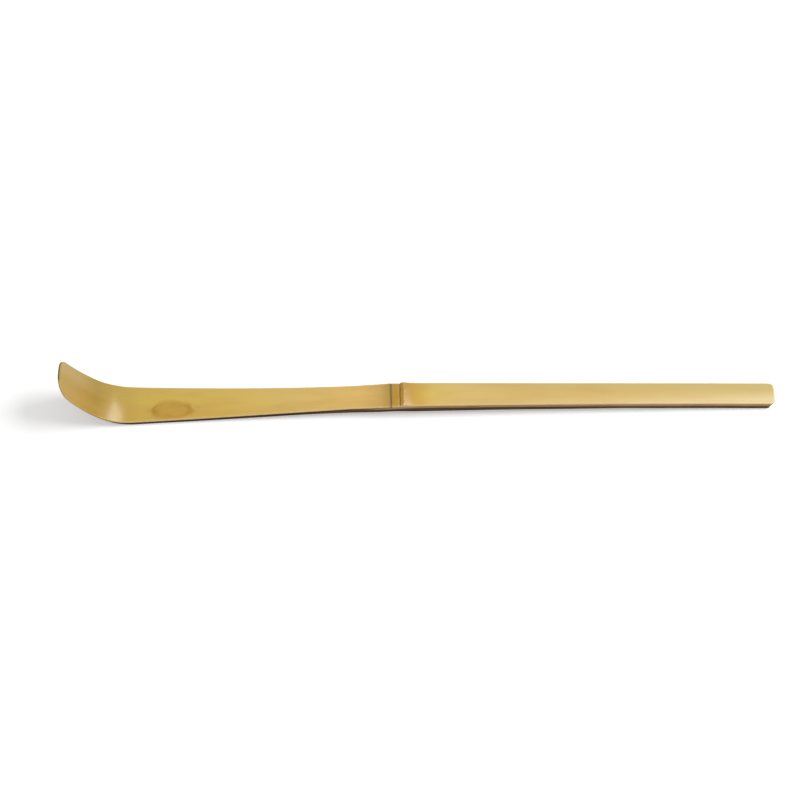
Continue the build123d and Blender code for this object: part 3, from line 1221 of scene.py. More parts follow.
@dataclass(frozen=True)
class Node(Stretch):
    """The node: the lip that the sheath stood on, its scar, a band, a groove and the ridge."""

    lip_crest_reach: float = 0.4
    lip_height: float = 0.02
    lip_shade_reach: float = 1.15
    scar_width: float = 0.26
    scar_depth: float = 0.1
    band_length: float = 1.78
    groove_width: float = 0.22
    groove_depth: float = 0.012
    step_width: float = 0.5
    step_lean: float = 0.15
    step_height: float = 0.45
    crest_reach: float = 3.0
    ridge_height: float = 0.58
    fall_start: float = 0.55
    fall_end: float = 1.1
    slope_step: float = 1.0
    fine_step: float = 0.03
    coarse_step: float = 0.08
    ragged: float = 0.03
    ragged_cell: tuple[float, float] = (3.0, 0.55)
    wrinkle_depth: float = 0.05
    wrinkle_cell: tuple[float, float] = (0.9, 0.42)
    wrinkle_fade: float = 1.2
    scar_stain: float = 0.9
    stain_ragged: float = 0.06
    stain_cell: tuple[float, float] = (1.5, 0.5)
    # Painted shade on the lip's fall and in the groove.
    lip_shade: float = 0.55
    foot_shade: float = 0.1
    face_stain: float = 0.25
    face_reach: float = 0.45
    mark_cell: tuple[float, float] = (0.7, 0.8)
    columns: int = 81

    def place(self, run: Array) -> Place:
        """The skin line under the rings: the shaft's arc to the scar, then straight to the handle.

        Args:
            run: Places along X.

        Returns:
            The line's x and z, and no lean.
        """
        strip = self.strip
        arc = drop_at(strip.shaft_radius, np.minimum(run, strip.scar_x))
        share = np.clip((run - strip.scar_x) / strip.ridge_reach, 0, 1)
        handle = between(strip.scar_z, strip.handle_skin(np.array(strip.node_end)), share)
        return run, np.where(run < strip.scar_x, arc, handle), np.zeros_like(run)

    def width(self, run: Array) -> Array:
        """Width of the skin face on both sides of the scar."""
        strip = self.strip
        return np.where(run < strip.scar_x, strip.scoop_width(run), strip.handle_width(run))

    def profile(self) -> Array:
        """The skin in side view: Bezier curves end to end, with a level band after the scar.

        The first sets off with the shaft's slope, and the last arrives with the handle's, which is
        measured over a small step. The groove's middle point lies at twice its depth, because such
        a curve goes half as deep as its middle point.

        Returns:
            Points (distance from the scar, height over the scar's own skin).
        """
        strip = self.strip
        start = drop_at(strip.shaft_radius, np.array(strip.node_start)) - strip.scar_z
        start_slope = np.tan(strip.shaft_length / strip.shaft_radius)
        end = strip.handle_skin(np.array(strip.node_end)) - strip.scar_z
        beyond = strip.handle_skin(np.array(strip.node_end + self.slope_step)) - strip.scar_z
        end_slope = (beyond - end) / self.slope_step
        lip_ease = (strip.lip_reach - self.lip_crest_reach) / 2
        scar_half = self.scar_width / 2
        band_end = scar_half + self.band_length
        groove_middle = band_end + self.groove_width / 2
        groove_end = band_end + self.groove_width
        step_end = groove_end + self.step_width
        plateau = (self.crest_reach - step_end) / 2
        lip = (
            (-strip.lip_reach, start),
            (-strip.lip_reach + lip_ease, start + start_slope * lip_ease),
            (-self.lip_crest_reach - lip_ease, self.lip_height),
            (-self.lip_crest_reach, self.lip_height),
        )
        fall = (lip[-1], (-scar_half, self.lip_height), (-scar_half, 0))
        scar = (fall[-1], (-scar_half, -self.scar_depth), (scar_half, -self.scar_depth), (scar_half, 0))
        groove = ((band_end, 0), (groove_middle, -2 * self.groove_depth), (groove_end, 0))
        rise = (groove[-1], (groove_end + self.step_lean, self.step_height), (step_end, self.step_height))
        crest = (self.crest_reach, self.ridge_height)
        top = (rise[-1], (step_end + plateau, self.ridge_height), crest)
        fall_end = self.crest_reach + self.fall_end
        slope = (
            crest,
            (self.crest_reach + self.fall_start, self.ridge_height),
            (fall_end, end - end_slope * (strip.ridge_reach - fall_end)),
            (strip.ridge_reach, end),
        )
        return np.concatenate([bezier(curve) for curve in (lip, fall, scar, groove, rise, top, slope)])

    def relief(self, run: Array, y: Array) -> Array:
        """Height of the skin's middle line over the scar's own skin, with ragged edges where the
        sheath broke off and small wrinkles on the ridge's steep face.

        Args:
            run: Places along X.
            y: Places across the strip.

        Returns:
            The profile's height at each place, less the wrinkles.
        """
        from_scar = run - self.strip.scar_x
        near_rings = eased(0, 1, (from_scar + self.strip.lip_reach) / self.lip_crest_reach)
        near_rings = near_rings * eased(1, 0, (from_scar - self.crest_reach) / self.crest_reach)
        raggedness = self.ragged * soft_noise(run, y, self.ragged_cell, seed=21) * near_rings
        line = self.profile()
        height = np.interp(from_scar + raggedness, line[:, 0], line[:, 1])
        on_ridge = eased(0, 1, (from_scar - self.band_length) / self.scar_width)
        on_ridge = on_ridge * eased(1, 0, (from_scar - self.crest_reach) / self.wrinkle_fade)
        wrinkles = np.abs(soft_noise(run, y, self.wrinkle_cell, seed=22)) * self.wrinkle_depth * on_ridge
        return height - wrinkles

    def skin(self, run: Array, y: Array) -> Array:
        """The relief turned about the culm's middle, so that a ring is as round as the culm.

        Args:
            run: Places along X.
            y: Places across the strip.

        Returns:
            Heights over the skin line.
        """
        level = self.strip.scar_z - self.place(run)[1]
        relief = self.relief(run, y)
        turned = drop_at(self.strip.culm_radius + relief, y)
        return level + relief - turned + self.strip.ripple(run, y)

    def brim(self, run: Array, y: Array) -> Array:
        """Height of the skin's edge without the rings."""
        inner = np.maximum(np.abs(y) - self.strip.edge_round, 0)
        return -drop_at(self.strip.culm_radius, inner)

    def rind_floor(self, run: Array, y: Array) -> Array:
        """The rings' underside, a round at one depth under the scar's own skin.

        Args:
            run: Places along X.
            y: Places across the strip.

        Returns:
            Heights over the skin line.
        """
        strip = self.strip
        level = strip.scar_z - strip.ring_depth - self.place(run)[1]
        return level - drop_at(strip.culm_radius - strip.ring_depth, y)

    def back(self, run: Array, y: Array) -> Array:
        """The back, where the strip thickens from the shaft to the grip.

        Args:
            run: Places along X.
            y: Places across the strip.

        Returns:
            Heights over the skin line.
        """
        strip = self.strip
        share = (run - strip.scar_x) / strip.ridge_reach
        grip = eased(strip.scar_thickness, strip.grip_thickness, share)
        return -np.where(run < strip.scar_x, strip.scoop_thickness(run), grip)

    def skin_tone(self, run: Array, y: Array, depth: Array) -> Array:
        """How dark the rings are: most in the scar; less before it, which is painted shade on the lip's
        fall; a little at the foot of the steep face, which is painted shade in the groove; and in marks
        on the face. Each is a bell curve, but for the lip, which is eased.

        Args:
            run: Places along X.
            y: Places across the strip.
            depth: Depths under the skin line.

        Returns:
            How dark the skin is, from 0 to 1.
        """
        from_scar = run - self.strip.scar_x
        ragged = self.stain_ragged * soft_noise(run, y, self.stain_cell, seed=23)
        scar = np.exp(-(((from_scar + self.scar_width / 2 + ragged) / self.scar_width) ** 2))
        groove_place = self.band_length + (self.scar_width + self.groove_width) / 2
        face_place = (groove_place + self.crest_reach) / 2
        face = np.exp(-(((from_scar - face_place) / self.face_reach) ** 2))
        foot = np.exp(-(((from_scar - groove_place - self.groove_width) / self.groove_width) ** 2))
        marks = np.maximum(soft_noise(run, y, self.mark_cell, seed=24), 0)
        # Painted shade on the lip's fall to the scar.
        lip = self.lip_shade * eased(0, 1, 1 + from_scar / self.lip_shade_reach) * (from_scar < 0)
        # Painted shade at the foot of the steep face, in the groove; the marks on the face are its own.
        ridge = self.foot_shade * foot + self.face_stain * face * marks
        return np.clip(np.maximum(self.scar_stain * scar, lip) + ridge, 0, 1)

    def plan(self) -> Plan:
        """Straight cuts at both ends, with rows close together over the rings.

        Returns:
            The outline.
        """
        strip = self.strip
        rings_start = strip.scar_x - self.lip_crest_reach
        rings_end = strip.scar_x + self.crest_reach + self.scar_width
        places = (strip.node_start, rings_start, rings_end, strip.node_end)
        steps = (self.coarse_step, self.fine_step, self.coarse_step)
        runs = [
            np.linspace(first, last, round((last - first) / step), endpoint=False)
            for first, last, step in zip(places, places[1:], steps)
        ]
        rows = np.concatenate([*runs, [strip.node_end]])
        near, far = self.side_edge(rows, -1.0), self.side_edge(rows, 1.0)
        shares = np.linspace(0, 1, self.columns)
        start, end = self.cut_edge(strip.node_start, shares), self.cut_edge(strip.node_end, shares)
        return Plan(near, far, start, end, start_cut=True, end_cut=True)


@dataclass(frozen=True)
class Handle(Stretch):
    """The handle from the node to its rounded end, with its back planed in two flats."""

    bow_radius: float = 26.0
    far_corner_radius: float = 1.4
    near_corner_radius: float = 1.3
    end_side_height: float = 0.15
    end_reach: float = 1.7
    end_ease: float = 1.2
    end_paleness: float = 0.3
    rows: int = 190

    def place(self, run: Array) -> Place:
        """The handle's skin line, with upright sections."""
        return run, self.strip.handle_skin(run), np.zeros_like(run)

    def width(self, run: Array) -> Array:
        """Width of the skin face."""
        return self.strip.handle_width(run)

    def at_end(self, run: Array) -> Array:
        """How far a run lies into the last knife strokes, which go round the end, from 0 to 1."""
        return np.clip((run - self.strip.end_x + self.end_reach) / self.end_ease, 0, 1)

    def lean(self, run: Array) -> Array:
        """The lower side's lean, which the last strokes make steeper."""
        return between(self.strip.lean_angle, self.strip.end_lean_angle, self.at_end(run))

    def side_height(self, run: Array) -> Array:
        """Height of the upright side, which the last strokes take away."""
        return eased(self.strip.handle_side_height, self.end_side_height, self.at_end(run))

    def pale_side(self, run: Array) -> Array:
        """The upright side is pale but for the cut round the end."""
        return eased(1.0, self.end_paleness, self.at_end(run))

    def back(self, run: Array, y: Array) -> Array:
        """The two flats: one from the node to the knee, and the one that the scoop rests on.

        Args:
            run: Places along the strip.
            y: Places across it.

        Returns:
            Heights over the skin line.
        """
        strip = self.strip
        knee_x = strip.end_x - strip.rest_flat_length
        start_z = strip.handle_skin(np.array(strip.node_end)) - strip.grip_thickness
        knee_z = strip.handle_skin(np.array(knee_x)) - strip.end_thickness
        places = (strip.node_end, knee_x, strip.end_x)
        return np.interp(run, places, (start_z, knee_z, strip.floor_z)) - strip.handle_skin(run)

    def plan(self) -> Plan:
        """The cut at the node, both sides, and the rounded end.

        Returns:
            The outline, cut at the node.
        """
        strip = self.strip
        width, end_x = strip.end_width, strip.end_x
        radii = (self.bow_radius, self.near_corner_radius, self.far_corner_radius)
        end = RoundedEnd(width / 2, *radii, corner_points=7, bow_points=25)
        near_corner, far_corner, end_edge = end.edges()
        sides = []
        for corner, side in ((near_corner, -1.0), (far_corner, 1.0)):
            runs = np.linspace(strip.node_end, end_x - corner[0, 0], self.rows)[:-1]
            rounded = self.onto_strip(corner, end_x, -1.0, width)
            sides.append(np.concatenate([self.side_edge(runs, side), rounded]))
        end_row = self.onto_strip(end_edge, end_x, -1.0, width)
        cut = self.cut_edge(strip.node_end, shares_across(end_row))
        return Plan(sides[0], sides[1], cut, end_row, start_cut=True, end_cut=False)


def linear(code: str) -> tuple[float, float, float, float]:
    """A colour as the shaders take it.

    Args:
        code: An sRGB colour as #rrggbb.

    Returns:
        Linear red, green and blue, with an alpha of 1.
    """
    parts = np.array([int(code[place : place + 2], 16) / 255 for place in (1, 3, 5)])
    light = np.where(parts <= 0.04045, parts / 12.92, ((parts + 0.055) / 1.055) ** 2.4)
    return (float(light[0]), float(light[1]), float(light[2]), 1.0)


def add_node(
    tree: bpy.types.NodeTree,
    kind: str,
    settings: dict[str | int, object] | None = None,
    links: dict[str | int, bpy.types.NodeSocket] | None = None,
) -> bpy.types.Node:
    """Adds a shader node.

    Args:
        tree: The node tree.
        kind: The node's type.
        settings: Values of its properties and inputs, in the order that they are set. Stops are a
            colour ramp's places and colours.
        links: The sockets that feed its inputs.

    Returns:
        The node.
    """
    node = tree.nodes.new(kind)
    for name, value in (settings or {}).items():
        if name == "stops":
            while len(node.color_ramp.elements) < len(value):
                node.color_ramp.elements.new(1.0)
            for element, (place, colour) in zip(node.color_ramp.elements, value):
                element.position = place
                element.color = colour
        elif isinstance(name, int) or name in node.inputs:
            node.inputs[name].default_value = value
        else:
            setattr(node, name, value)
    for name, source in (links or {}).items():
        tree.links.new(source, node.inputs[name])
    return node


class Measure(Enum):
    """What a finish can go by at each place on a piece."""

    RUN = "way along the strip from the heel"
    ACROSS = "way across the strip from its middle, more towards the far side"
    RIM = "way in from the free edge, and below zero the way down from it"
    TONE = "tone stored at the corners"
    CLOUDS = "soft cloudy patches"
    FIBRES = "long faint fibres"
    HAIRS = "fine pale hairs"
    # The next four measures place a painted reflection: a dark oval behind the scoop.
    REFLECTION_PATCHES = "patches that make the smoke stain uneven"
    REFLECTION_REACH = "way out from the stain's middle, 1 on its oval"
    REFLECTION_ALONG = "way along from the stain's middle, 1 at its ends"
    PAINTED_REFLECTION = "strength of the smoke stain"
    PALE = "paler streaks of the cut wood"
    BUNDLES = "dark dashes of the bundles that ran up the stem"


class Join(Enum):
    """How several held measures become one value."""

    PRODUCT = "MULTIPLY"
    SUM = "ADD"


Measures = dict[Measure, bpy.types.NodeSocket]


@dataclass(frozen=True)
class Held:
    """A measure carried from one range to another and held inside it.

    Args:
        measure: What it goes by.
        source: The measure where the result starts, and where it ends.
        result: The result at those two.
    """

    measure: Measure
    source: tuple[float, float]
    result: tuple[float, float] = (0.0, 1.0)


@dataclass(frozen=True)
class Layer:
    """A colour laid over the ones below it.

    Args:
        colour: The colour as #rrggbb.
        strength: Held measures, whose product says how strong it is.
    """

    colour: str
    strength: tuple[Held, ...]


@dataclass(frozen=True)
class Streaks:
    """Noise from 0 to 1, drawn out along the grain.

    Args:
        measure: What it is to the layers.
        length: A streak's length in millimetres.
        width: A streak's width in millimetres.
        detail: How many finer layers it has.
        fine_share: How strong each of those is beside the one before it.
    """

    measure: Measure
    length: float
    width: float
    detail: float
    fine_share: float = 0.55

    def build(self, tree: bpy.types.NodeTree, grain: bpy.types.NodeSocket) -> bpy.types.NodeSocket:
        """The noise, on places divided by a streak's length and width.

        Args:
            tree: The node tree.
            grain: The place (run, y, depth) in millimetres.

        Returns:
            The noise.
        """
        drawn = {"Scale": (1 / self.length, 1 / self.width, 1 / self.width)}
        place = add_node(tree, "ShaderNodeMapping", drawn, {"Vector": grain}).outputs[0]
        settings = {"Scale": 1.0, "Detail": self.detail, "Roughness": self.fine_share}
        return add_node(tree, "ShaderNodeTexNoise", settings, {"Vector": place}).outputs[0]


def joined(
    tree: bpy.types.NodeTree, measures: Measures, parts: tuple[Held, ...], join: Join = Join.PRODUCT
) -> bpy.types.NodeSocket:
    """Held measures multiplied or added up.

    Args:
        tree: The node tree.
        measures: The measures' sockets.
        parts: The held measures.
        join: Whether they are multiplied or added.

    Returns:
        The product or the sum.
    """
    values = []
    for part in parts:
        ends = (*part.source, *part.result)
        settings = dict(zip(("From Min", "From Max", "To Min", "To Max"), ends))
        links = {"Value": measures[part.measure]}
        values.append(add_node(tree, "ShaderNodeMapRange", settings, links).outputs[0])
    result = values[0]
    for value in values[1:]:
        links = {0: result, 1: value}
        result = add_node(tree, "ShaderNodeMath", {"operation": join.value}, links).outputs[0]
    return result


@dataclass(frozen=True)
class BambooFinish:
    """What the strip's two finishes have in common: a base colour that changes with one measure,
    layers over it, a roughness and a fine relief.

    Args:
        name: The material's name.
        base_measure: What the base colour goes by.
        base: The base colour at places of that measure, as #rrggbb.
        streaks: The patterns along the grain.
        roughness: Held measures, whose sum is the roughness.
        relief_measure: The pattern that stands out in relief.
        relief: The relief's height in millimetres.
        relief_strength: How much of it the light shows.
        specular_level: How strong the plain gloss is, 0.5 on a smooth surface.
        coat: Held measures, whose product is the weight of the sheen on top. Without them, none.
        coat_roughness: That sheen's roughness.
        ior: The index of refraction, that of wood and its wax.
    """

    name: str
    base_measure: Measure
    base: tuple[tuple[float, str], ...]
    streaks: tuple[Streaks, ...]
    roughness: tuple[Held, ...]
    relief_measure: Measure
    relief: float
    relief_strength: float
    specular_level: float = 0.5
    coat: tuple[Held, ...] = ()
    coat_roughness: float = 0.3
    ior: float = 1.5

    def layers(self) -> tuple[Layer, ...]:
        """The colours over the base, from the lowest up."""
        raise NotImplementedError

    def measures(self, tree: bpy.types.NodeTree, grain: bpy.types.NodeSocket) -> Measures:
        """The stored tone and the streaks.

        Args:
            tree: The node tree.
            grain: The place (run, y, depth) in millimetres.

        Returns:
            A socket for each measure that the finish goes by.
        """
        tone = add_node(tree, "ShaderNodeAttribute", {"attribute_name": "tone"})
        found = {streaks.measure: streaks.build(tree, grain) for streaks in self.streaks}
        return {Measure.TONE: tone.outputs["Fac"], **found}

    def base_colour(self, tree: bpy.types.NodeTree, measures: Measures) -> bpy.types.NodeSocket:
        """The base colour, as a colour ramp over the whole of its measure's range.

        Args:
            tree: The node tree.
            measures: The measures' sockets.

        Returns:
            The colour.
        """
        first, last = self.base[0][0], self.base[-1][0]
        share = joined(tree, measures, (Held(self.base_measure, (first, last)),))
        stops = [((place - first) / (last - first), linear(code)) for place, code in self.base]
        return add_node(tree, "ShaderNodeValToRGB", {"stops": stops}, {"Fac": share}).outputs[0]

    def build(self) -> bpy.types.Material:
        """The material, which reads what is stored at each piece's corners.

        Returns:
            The material.
        """
        material = bpy.data.materials.new(self.name)
        material.use_nodes = True
        tree = material.node_tree
        tree.nodes.clear()
        grain = add_node(tree, "ShaderNodeAttribute", {"attribute_name": "grain"}).outputs["Vector"]
        measures = self.measures(tree, grain)
        colour = self.base_colour(tree, measures)
        for layer in self.layers():
            strength = joined(tree, measures, layer.strength)
            settings = {"data_type": "RGBA", 7: linear(layer.colour)}
            colour = add_node(tree, "ShaderNodeMix", settings, {0: strength, 6: colour}).outputs[2]
        relief = {"Strength": self.relief_strength, "Distance": self.relief * MM}
        bump = add_node(tree, "ShaderNodeBump", relief, {"Height": measures[self.relief_measure]})
        roughness = joined(tree, measures, self.roughness, Join.SUM)
        links = {"Base Color": colour, "Roughness": roughness, "Normal": bump.outputs[0]}
        gloss = {"IOR": self.ior, "Specular IOR Level": self.specular_level}
        if self.coat:
            links["Coat Weight"] = joined(tree, measures, self.coat)
            gloss["Coat Roughness"] = self.coat_roughness
        surface = add_node(tree, "ShaderNodeBsdfPrincipled", gloss, links)
        add_node(tree, "ShaderNodeOutputMaterial", None, {"Surface": surface.outputs[0]})
        return material


@dataclass(frozen=True)
class ScrapedRind(BambooFinish):
    """Bamboo rind, scraped and smoothed by hand.

    To the eye it is straw to ochre, satin, with long faint fibres and soft cloudy patches, and
    with a dark oval behind the scoop, which is a painted reflection. The node's rings have the same
    skin, stained brown and matt, with painted shade on the lip and in the groove. Its colour drifts
    along the strip, darker at the bend with painted shade, with a painted cool reflection, greenish,
    on the far side, a redder near side, and a painted sheen on the near side towards the handle's
    end. Its edge has a painted highlight. Below its rounded edge it is the side of the cut wood,
    pale and then dark with painted shade. Its places are in millimetres from the heel.

    Args:
        painted_far_reflection: A painted cool reflection, greenish grey on the far side, most along the
            handle and behind the tip.
        near_side: The redder near side, which fades along the handle.
        painted_sheen: A painted sheen, the near side paler towards the handle's end.
        cloud: The cloudy patches.
        fibre: The fibres, a little darker than the skin.
        hair: The hairs, a little paler.
        painted_reflection: The painted dark reflection, an oval behind the scoop.
        painted_edge_highlight: A painted highlight, a pale line along the edge, weaker round the head.
        side: The pale cut wood under the edge.
        painted_shade_side: The dark cut wood below that, which is painted shade.
        ring_stain_and_shade: The brown of the rings' stains and marks, of the painted shade on the lip and
            in the groove, and of the darker line at the tip.
        reflection_place: The painted reflection's middle.
        reflection_size: Half its length, width and depth.
        reflection_unevenness: How far its patches draw it in, as a share of that.
        reflection_oval: Its strength all over.
        reflection_ends: What its edge has besides.
    """

    name: str = "scraped_bamboo_rind"
    base_measure: Measure = Measure.RUN
    base: tuple[tuple[float, str], ...] = (
        (-22.0, "#b69441"),
        (-14.0, "#b5913e"),
        # The darkest stop, at the bend, is painted shade: the tilted bend mirrors a dimmer part of the
        # room.
        (-9.5, "#ac8c31"),
        (-5.0, "#c09f43"),
        (2.0, "#debc55"),
        (20.0, "#e1be56"),
        (40.0, "#e6c46d"),
        (58.0, "#edc46e"),
        (63.0, "#d7b061"),
        (66.2, "#b9912b"),
        (68.4, "#c59528"),
        (69.6, "#c29133"),
        (72.0, "#d7ac40"),
        (76.0, "#e4c464"),
        (84.0, "#e1c170"),
        (100.0, "#dab767"),
        (125.0, "#d5b464"),
        (164.0, "#c8b063"),
    )
    streaks: tuple[Streaks, ...] = (
        Streaks(Measure.CLOUDS, 14.0, 3.4, 1.0),
        Streaks(Measure.FIBRES, 42.0, 0.7, 3.0),
        Streaks(Measure.HAIRS, 16.0, 0.16, 2.0),
        Streaks(Measure.REFLECTION_PATCHES, 3.6, 2.6, 2.0),
    )
    # Painted reflection: a cool greenish grey on the far side, mirrored light painted into the colour.
    painted_far_reflection: Layer = Layer(
        "#c3b884",
        (
            Held(Measure.ACROSS, (0.4, 3.2)),
            Held(Measure.RUN, (66.0, 105.0), (0.06, 0.4)),
            Held(Measure.RUN, (-6.0, -15.0), (1.0, 4.333)),
        ),
    )
    near_side: Layer = Layer(
        "#cf9c36", (Held(Measure.ACROSS, (-0.4, -3.2)), Held(Measure.RUN, (70.0, 110.0), (0.2, 0.0)))
    )
    # Painted sheen: the near half grows paler towards the handle's end, where the glossy skin would mirror
    # the lamps.
    painted_sheen: Layer = Layer(
        "#ead0aa", (Held(Measure.ACROSS, (0.4, -1.9)), Held(Measure.RUN, (110.0, 162.0), (0.0, 0.15)))
    )
    cloud: Layer = Layer("#cf9f55", (Held(Measure.CLOUDS, (0.45, 0.75), (0.0, 0.3)),))
    fibre: Layer = Layer("#a37a34", (Held(Measure.FIBRES, (0.52, 0.8), (0.0, 0.1)),))
    hair: Layer = Layer("#e0c68c", (Held(Measure.HAIRS, (0.52, 0.8), (0.0, 0.12)),))
    # Painted reflection: a dark oval behind the scoop, where the glossy skin would mirror something dark.
    painted_reflection: Layer = Layer("#b5810e", (Held(Measure.PAINTED_REFLECTION, (0.0, 1.0)),))
    # Painted highlight: a pale line along the rounded edge, where it would catch the light, weaker round
    # the head.
    painted_edge_highlight: Layer = Layer(
        "#efd29a", (Held(Measure.RIM, (0.42, 0.12)), Held(Measure.RUN, (-6.0, -2.5), (0.12, 0.55)))
    )
    side: Layer = Layer("#b08c62", (Held(Measure.RIM, (-0.12, -0.34)),))
    # Painted shade: the cut wood low on the rind's side, dark brown.
    painted_shade_side: Layer = Layer("#4a2b09", (Held(Measure.RIM, (-1.0, -1.25)),))
    # The rings' own stains and marks, with the painted shade on the lip and in the groove.
    ring_stain_and_shade: Layer = Layer("#5c3c08", (Held(Measure.TONE, (0.0, 1.0), (0.0, 0.85)),))
    reflection_place: tuple[float, float, float] = (9.9, -2.1, 0.0)
    reflection_size: tuple[float, float, float] = (6.0, 3.0, 9.0)
    reflection_unevenness: float = 0.9
    reflection_oval: tuple[Held, ...] = (Held(Measure.REFLECTION_REACH, (1.2, 1.6), (0.36, 0.0)),)
    reflection_ends: tuple[Held, ...] = (
        Held(Measure.REFLECTION_REACH, (0.6, 1.15)),
        Held(Measure.REFLECTION_REACH, (1.3, 1.5), (1.0, 0.0)),
        Held(Measure.REFLECTION_PATCHES, (0.35, 0.6), (0.0, 0.6)),
        Held(Measure.REFLECTION_ALONG, (0.45, 0.8), (0.25, 1.0)),
    )
    roughness: tuple[Held, ...] = (
        Held(Measure.FIBRES, (0.3, 0.7), (0.2, 0.26)),
        Held(Measure.TONE, (0.0, 0.6), (0.0, 0.5)),
    )
    relief_measure: Measure = Measure.HAIRS
    relief: float = 0.006
    relief_strength: float = 0.5
    coat: tuple[Held, ...] = (Held(Measure.TONE, (0.0, 0.4), (0.12, 0.0)),)

    def layers(self) -> tuple[Layer, ...]:
        """The tints of the two sides, the fibres, the painted dark reflection, and last the edges and the
        rings.
        """
        skin = (self.painted_far_reflection, self.near_side, self.painted_sheen, self.cloud, self.fibre, self.hair, self.painted_reflection)
        return (*skin, self.painted_edge_highlight, self.side, self.painted_shade_side, self.ring_stain_and_shade)

    def measures(self, tree: bpy.types.NodeTree, grain: bpy.types.NodeSocket) -> Measures:
        """The shared measures, the place on the strip, and the painted dark reflection.

        That reflection is an uneven oval, whose reach grows by its patches. It is weak all over and
        stronger in patches along its edge, most at its two ends.

        Args:
            tree: The node tree.
            grain: The place (run, y, depth) in millimetres.

        Returns:
            A socket for each measure that the finish goes by.
        """
        found = super().measures(tree, grain)
        found[Measure.RIM] = add_node(tree, "ShaderNodeAttribute", {"attribute_name": "rim"}).outputs["Fac"]
        place = add_node(tree, "ShaderNodeSeparateXYZ", None, {"Vector": grain})
        found[Measure.RUN], found[Measure.ACROSS] = place.outputs["X"], place.outputs["Y"]
        centred = {"vector_type": "TEXTURE", "Location": self.reflection_place, "Scale": self.reflection_size}
        oval = add_node(tree, "ShaderNodeMapping", centred, {"Vector": grain}).outputs[0]
        reach = add_node(tree, "ShaderNodeVectorMath", {"operation": "LENGTH"}, {0: oval}).outputs["Value"]
        grown = {"operation": "MULTIPLY_ADD", 1: self.reflection_unevenness}
        links = {0: found[Measure.REFLECTION_PATCHES], 2: reach}
        found[Measure.REFLECTION_REACH] = add_node(tree, "ShaderNodeMath", grown, links).outputs[0]
        along = add_node(tree, "ShaderNodeSeparateXYZ", None, {"Vector": oval}).outputs["X"]
        length = add_node(tree, "ShaderNodeMath", {"operation": "ABSOLUTE"}, {0: along})
        found[Measure.REFLECTION_ALONG] = length.outputs[0]
        links = {0: joined(tree, found, self.reflection_oval), 1: joined(tree, found, self.reflection_ends)}
        both = add_node(tree, "ShaderNodeMath", {"operation": "ADD"}, links)
        found[Measure.PAINTED_REFLECTION] = both.outputs[0]
        return found


@dataclass(frozen=True)
class CarvedFlesh(BambooFinish):
    """The bamboo's inner wood, cut with a knife.

    To the eye the upright side is light brown, the lower side dark brown, which is painted shade,
    and the back a mid brown between them, all matt, with the dark dashes of the bundles that ran
    up the stem. The head's shaved rim takes the palest colour, which is painted light on a rim
    that faces away from the lamps.
    """

    name: str = "carved_bamboo_flesh"
    base_measure: Measure = Measure.TONE
    base: tuple[tuple[float, str], ...] = (
        # The head's rim colour is painted light.
        (Tone.PAINTED_LIGHT_SHAVED_RIM.value, "#b8974f"),
        (Tone.UPRIGHT_SIDE.value, "#b08c62"),
        (Tone.BACK.value, "#86683c"),
        # The lower side's dark brown is painted shade.
        (Tone.LOWER_SIDE.value, "#4a2b09"),
    )
    streaks: tuple[Streaks, ...] = (
        Streaks(Measure.PALE, 30.0, 0.9, 2.0),
        Streaks(Measure.BUNDLES, 7.0, 0.32, 1.0),
    )
    pale: Layer = Layer("#c7a772", (Held(Measure.PALE, (0.5, 0.8), (0.0, 0.25)),))
    bundle: Layer = Layer("#3c2a14", (Held(Measure.BUNDLES, (0.56, 0.7), (0.0, 0.6)),))
    roughness: tuple[Held, ...] = (Held(Measure.BUNDLES, (0.3, 0.7), (0.5, 0.68)),)
    relief_measure: Measure = Measure.BUNDLES
    relief: float = 0.02
    relief_strength: float = 0.6
    specular_level: float = 0.15

    def layers(self) -> tuple[Layer, ...]:
        """The paler streaks, and the bundles over them."""
        return (self.pale, self.bundle)


@dataclass(frozen=True)
class Softbox:
    """A soft lamp that looks at the scoop.

    Args:
        name: The lamp's name.
        azimuth: Its direction in degrees, from behind the scoop (0) round to its right (90).
        elevation: Its height in degrees over the floor.
        distance: How far away it stands, in metres.
        size: Its width and height in metres.
        share: Its share of the light that shows a white floor as white.
        only_mirrored: Whether it shows in highlights alone, as a small bright card does.
    """

    name: str
    azimuth: float
    elevation: float
    distance: float
    size: tuple[float, float]
    share: float
    only_mirrored: bool = False

    def build(self, target: Vector) -> bpy.types.Object:
        """Makes the lamp, whose power grows with the square of its distance.

        Args:
            target: The point that it looks at, in metres.

        Returns:
            The lamp's object.
        """
        azimuth, elevation = np.radians(self.azimuth), np.radians(self.elevation)
        flat = np.cos(elevation)
        away = Vector((np.sin(azimuth) * flat, np.cos(azimuth) * flat, np.sin(elevation)))
        lamp = bpy.data.lights.new(self.name, "AREA")
        lamp.shape = "RECTANGLE"
        lamp.size, lamp.size_y = self.size
        lamp.energy = float(self.share * np.pi**2 * self.distance**2 / np.sin(elevation))
        box = bpy.data.objects.new(self.name, lamp)
        box.location = target + away * self.distance
        box.rotation_euler = away.to_track_quat("Z", "Y").to_euler()
        box.visible_diffuse = not self.only_mirrored
        bpy.context.scene.collection.objects.link(box)
        return box


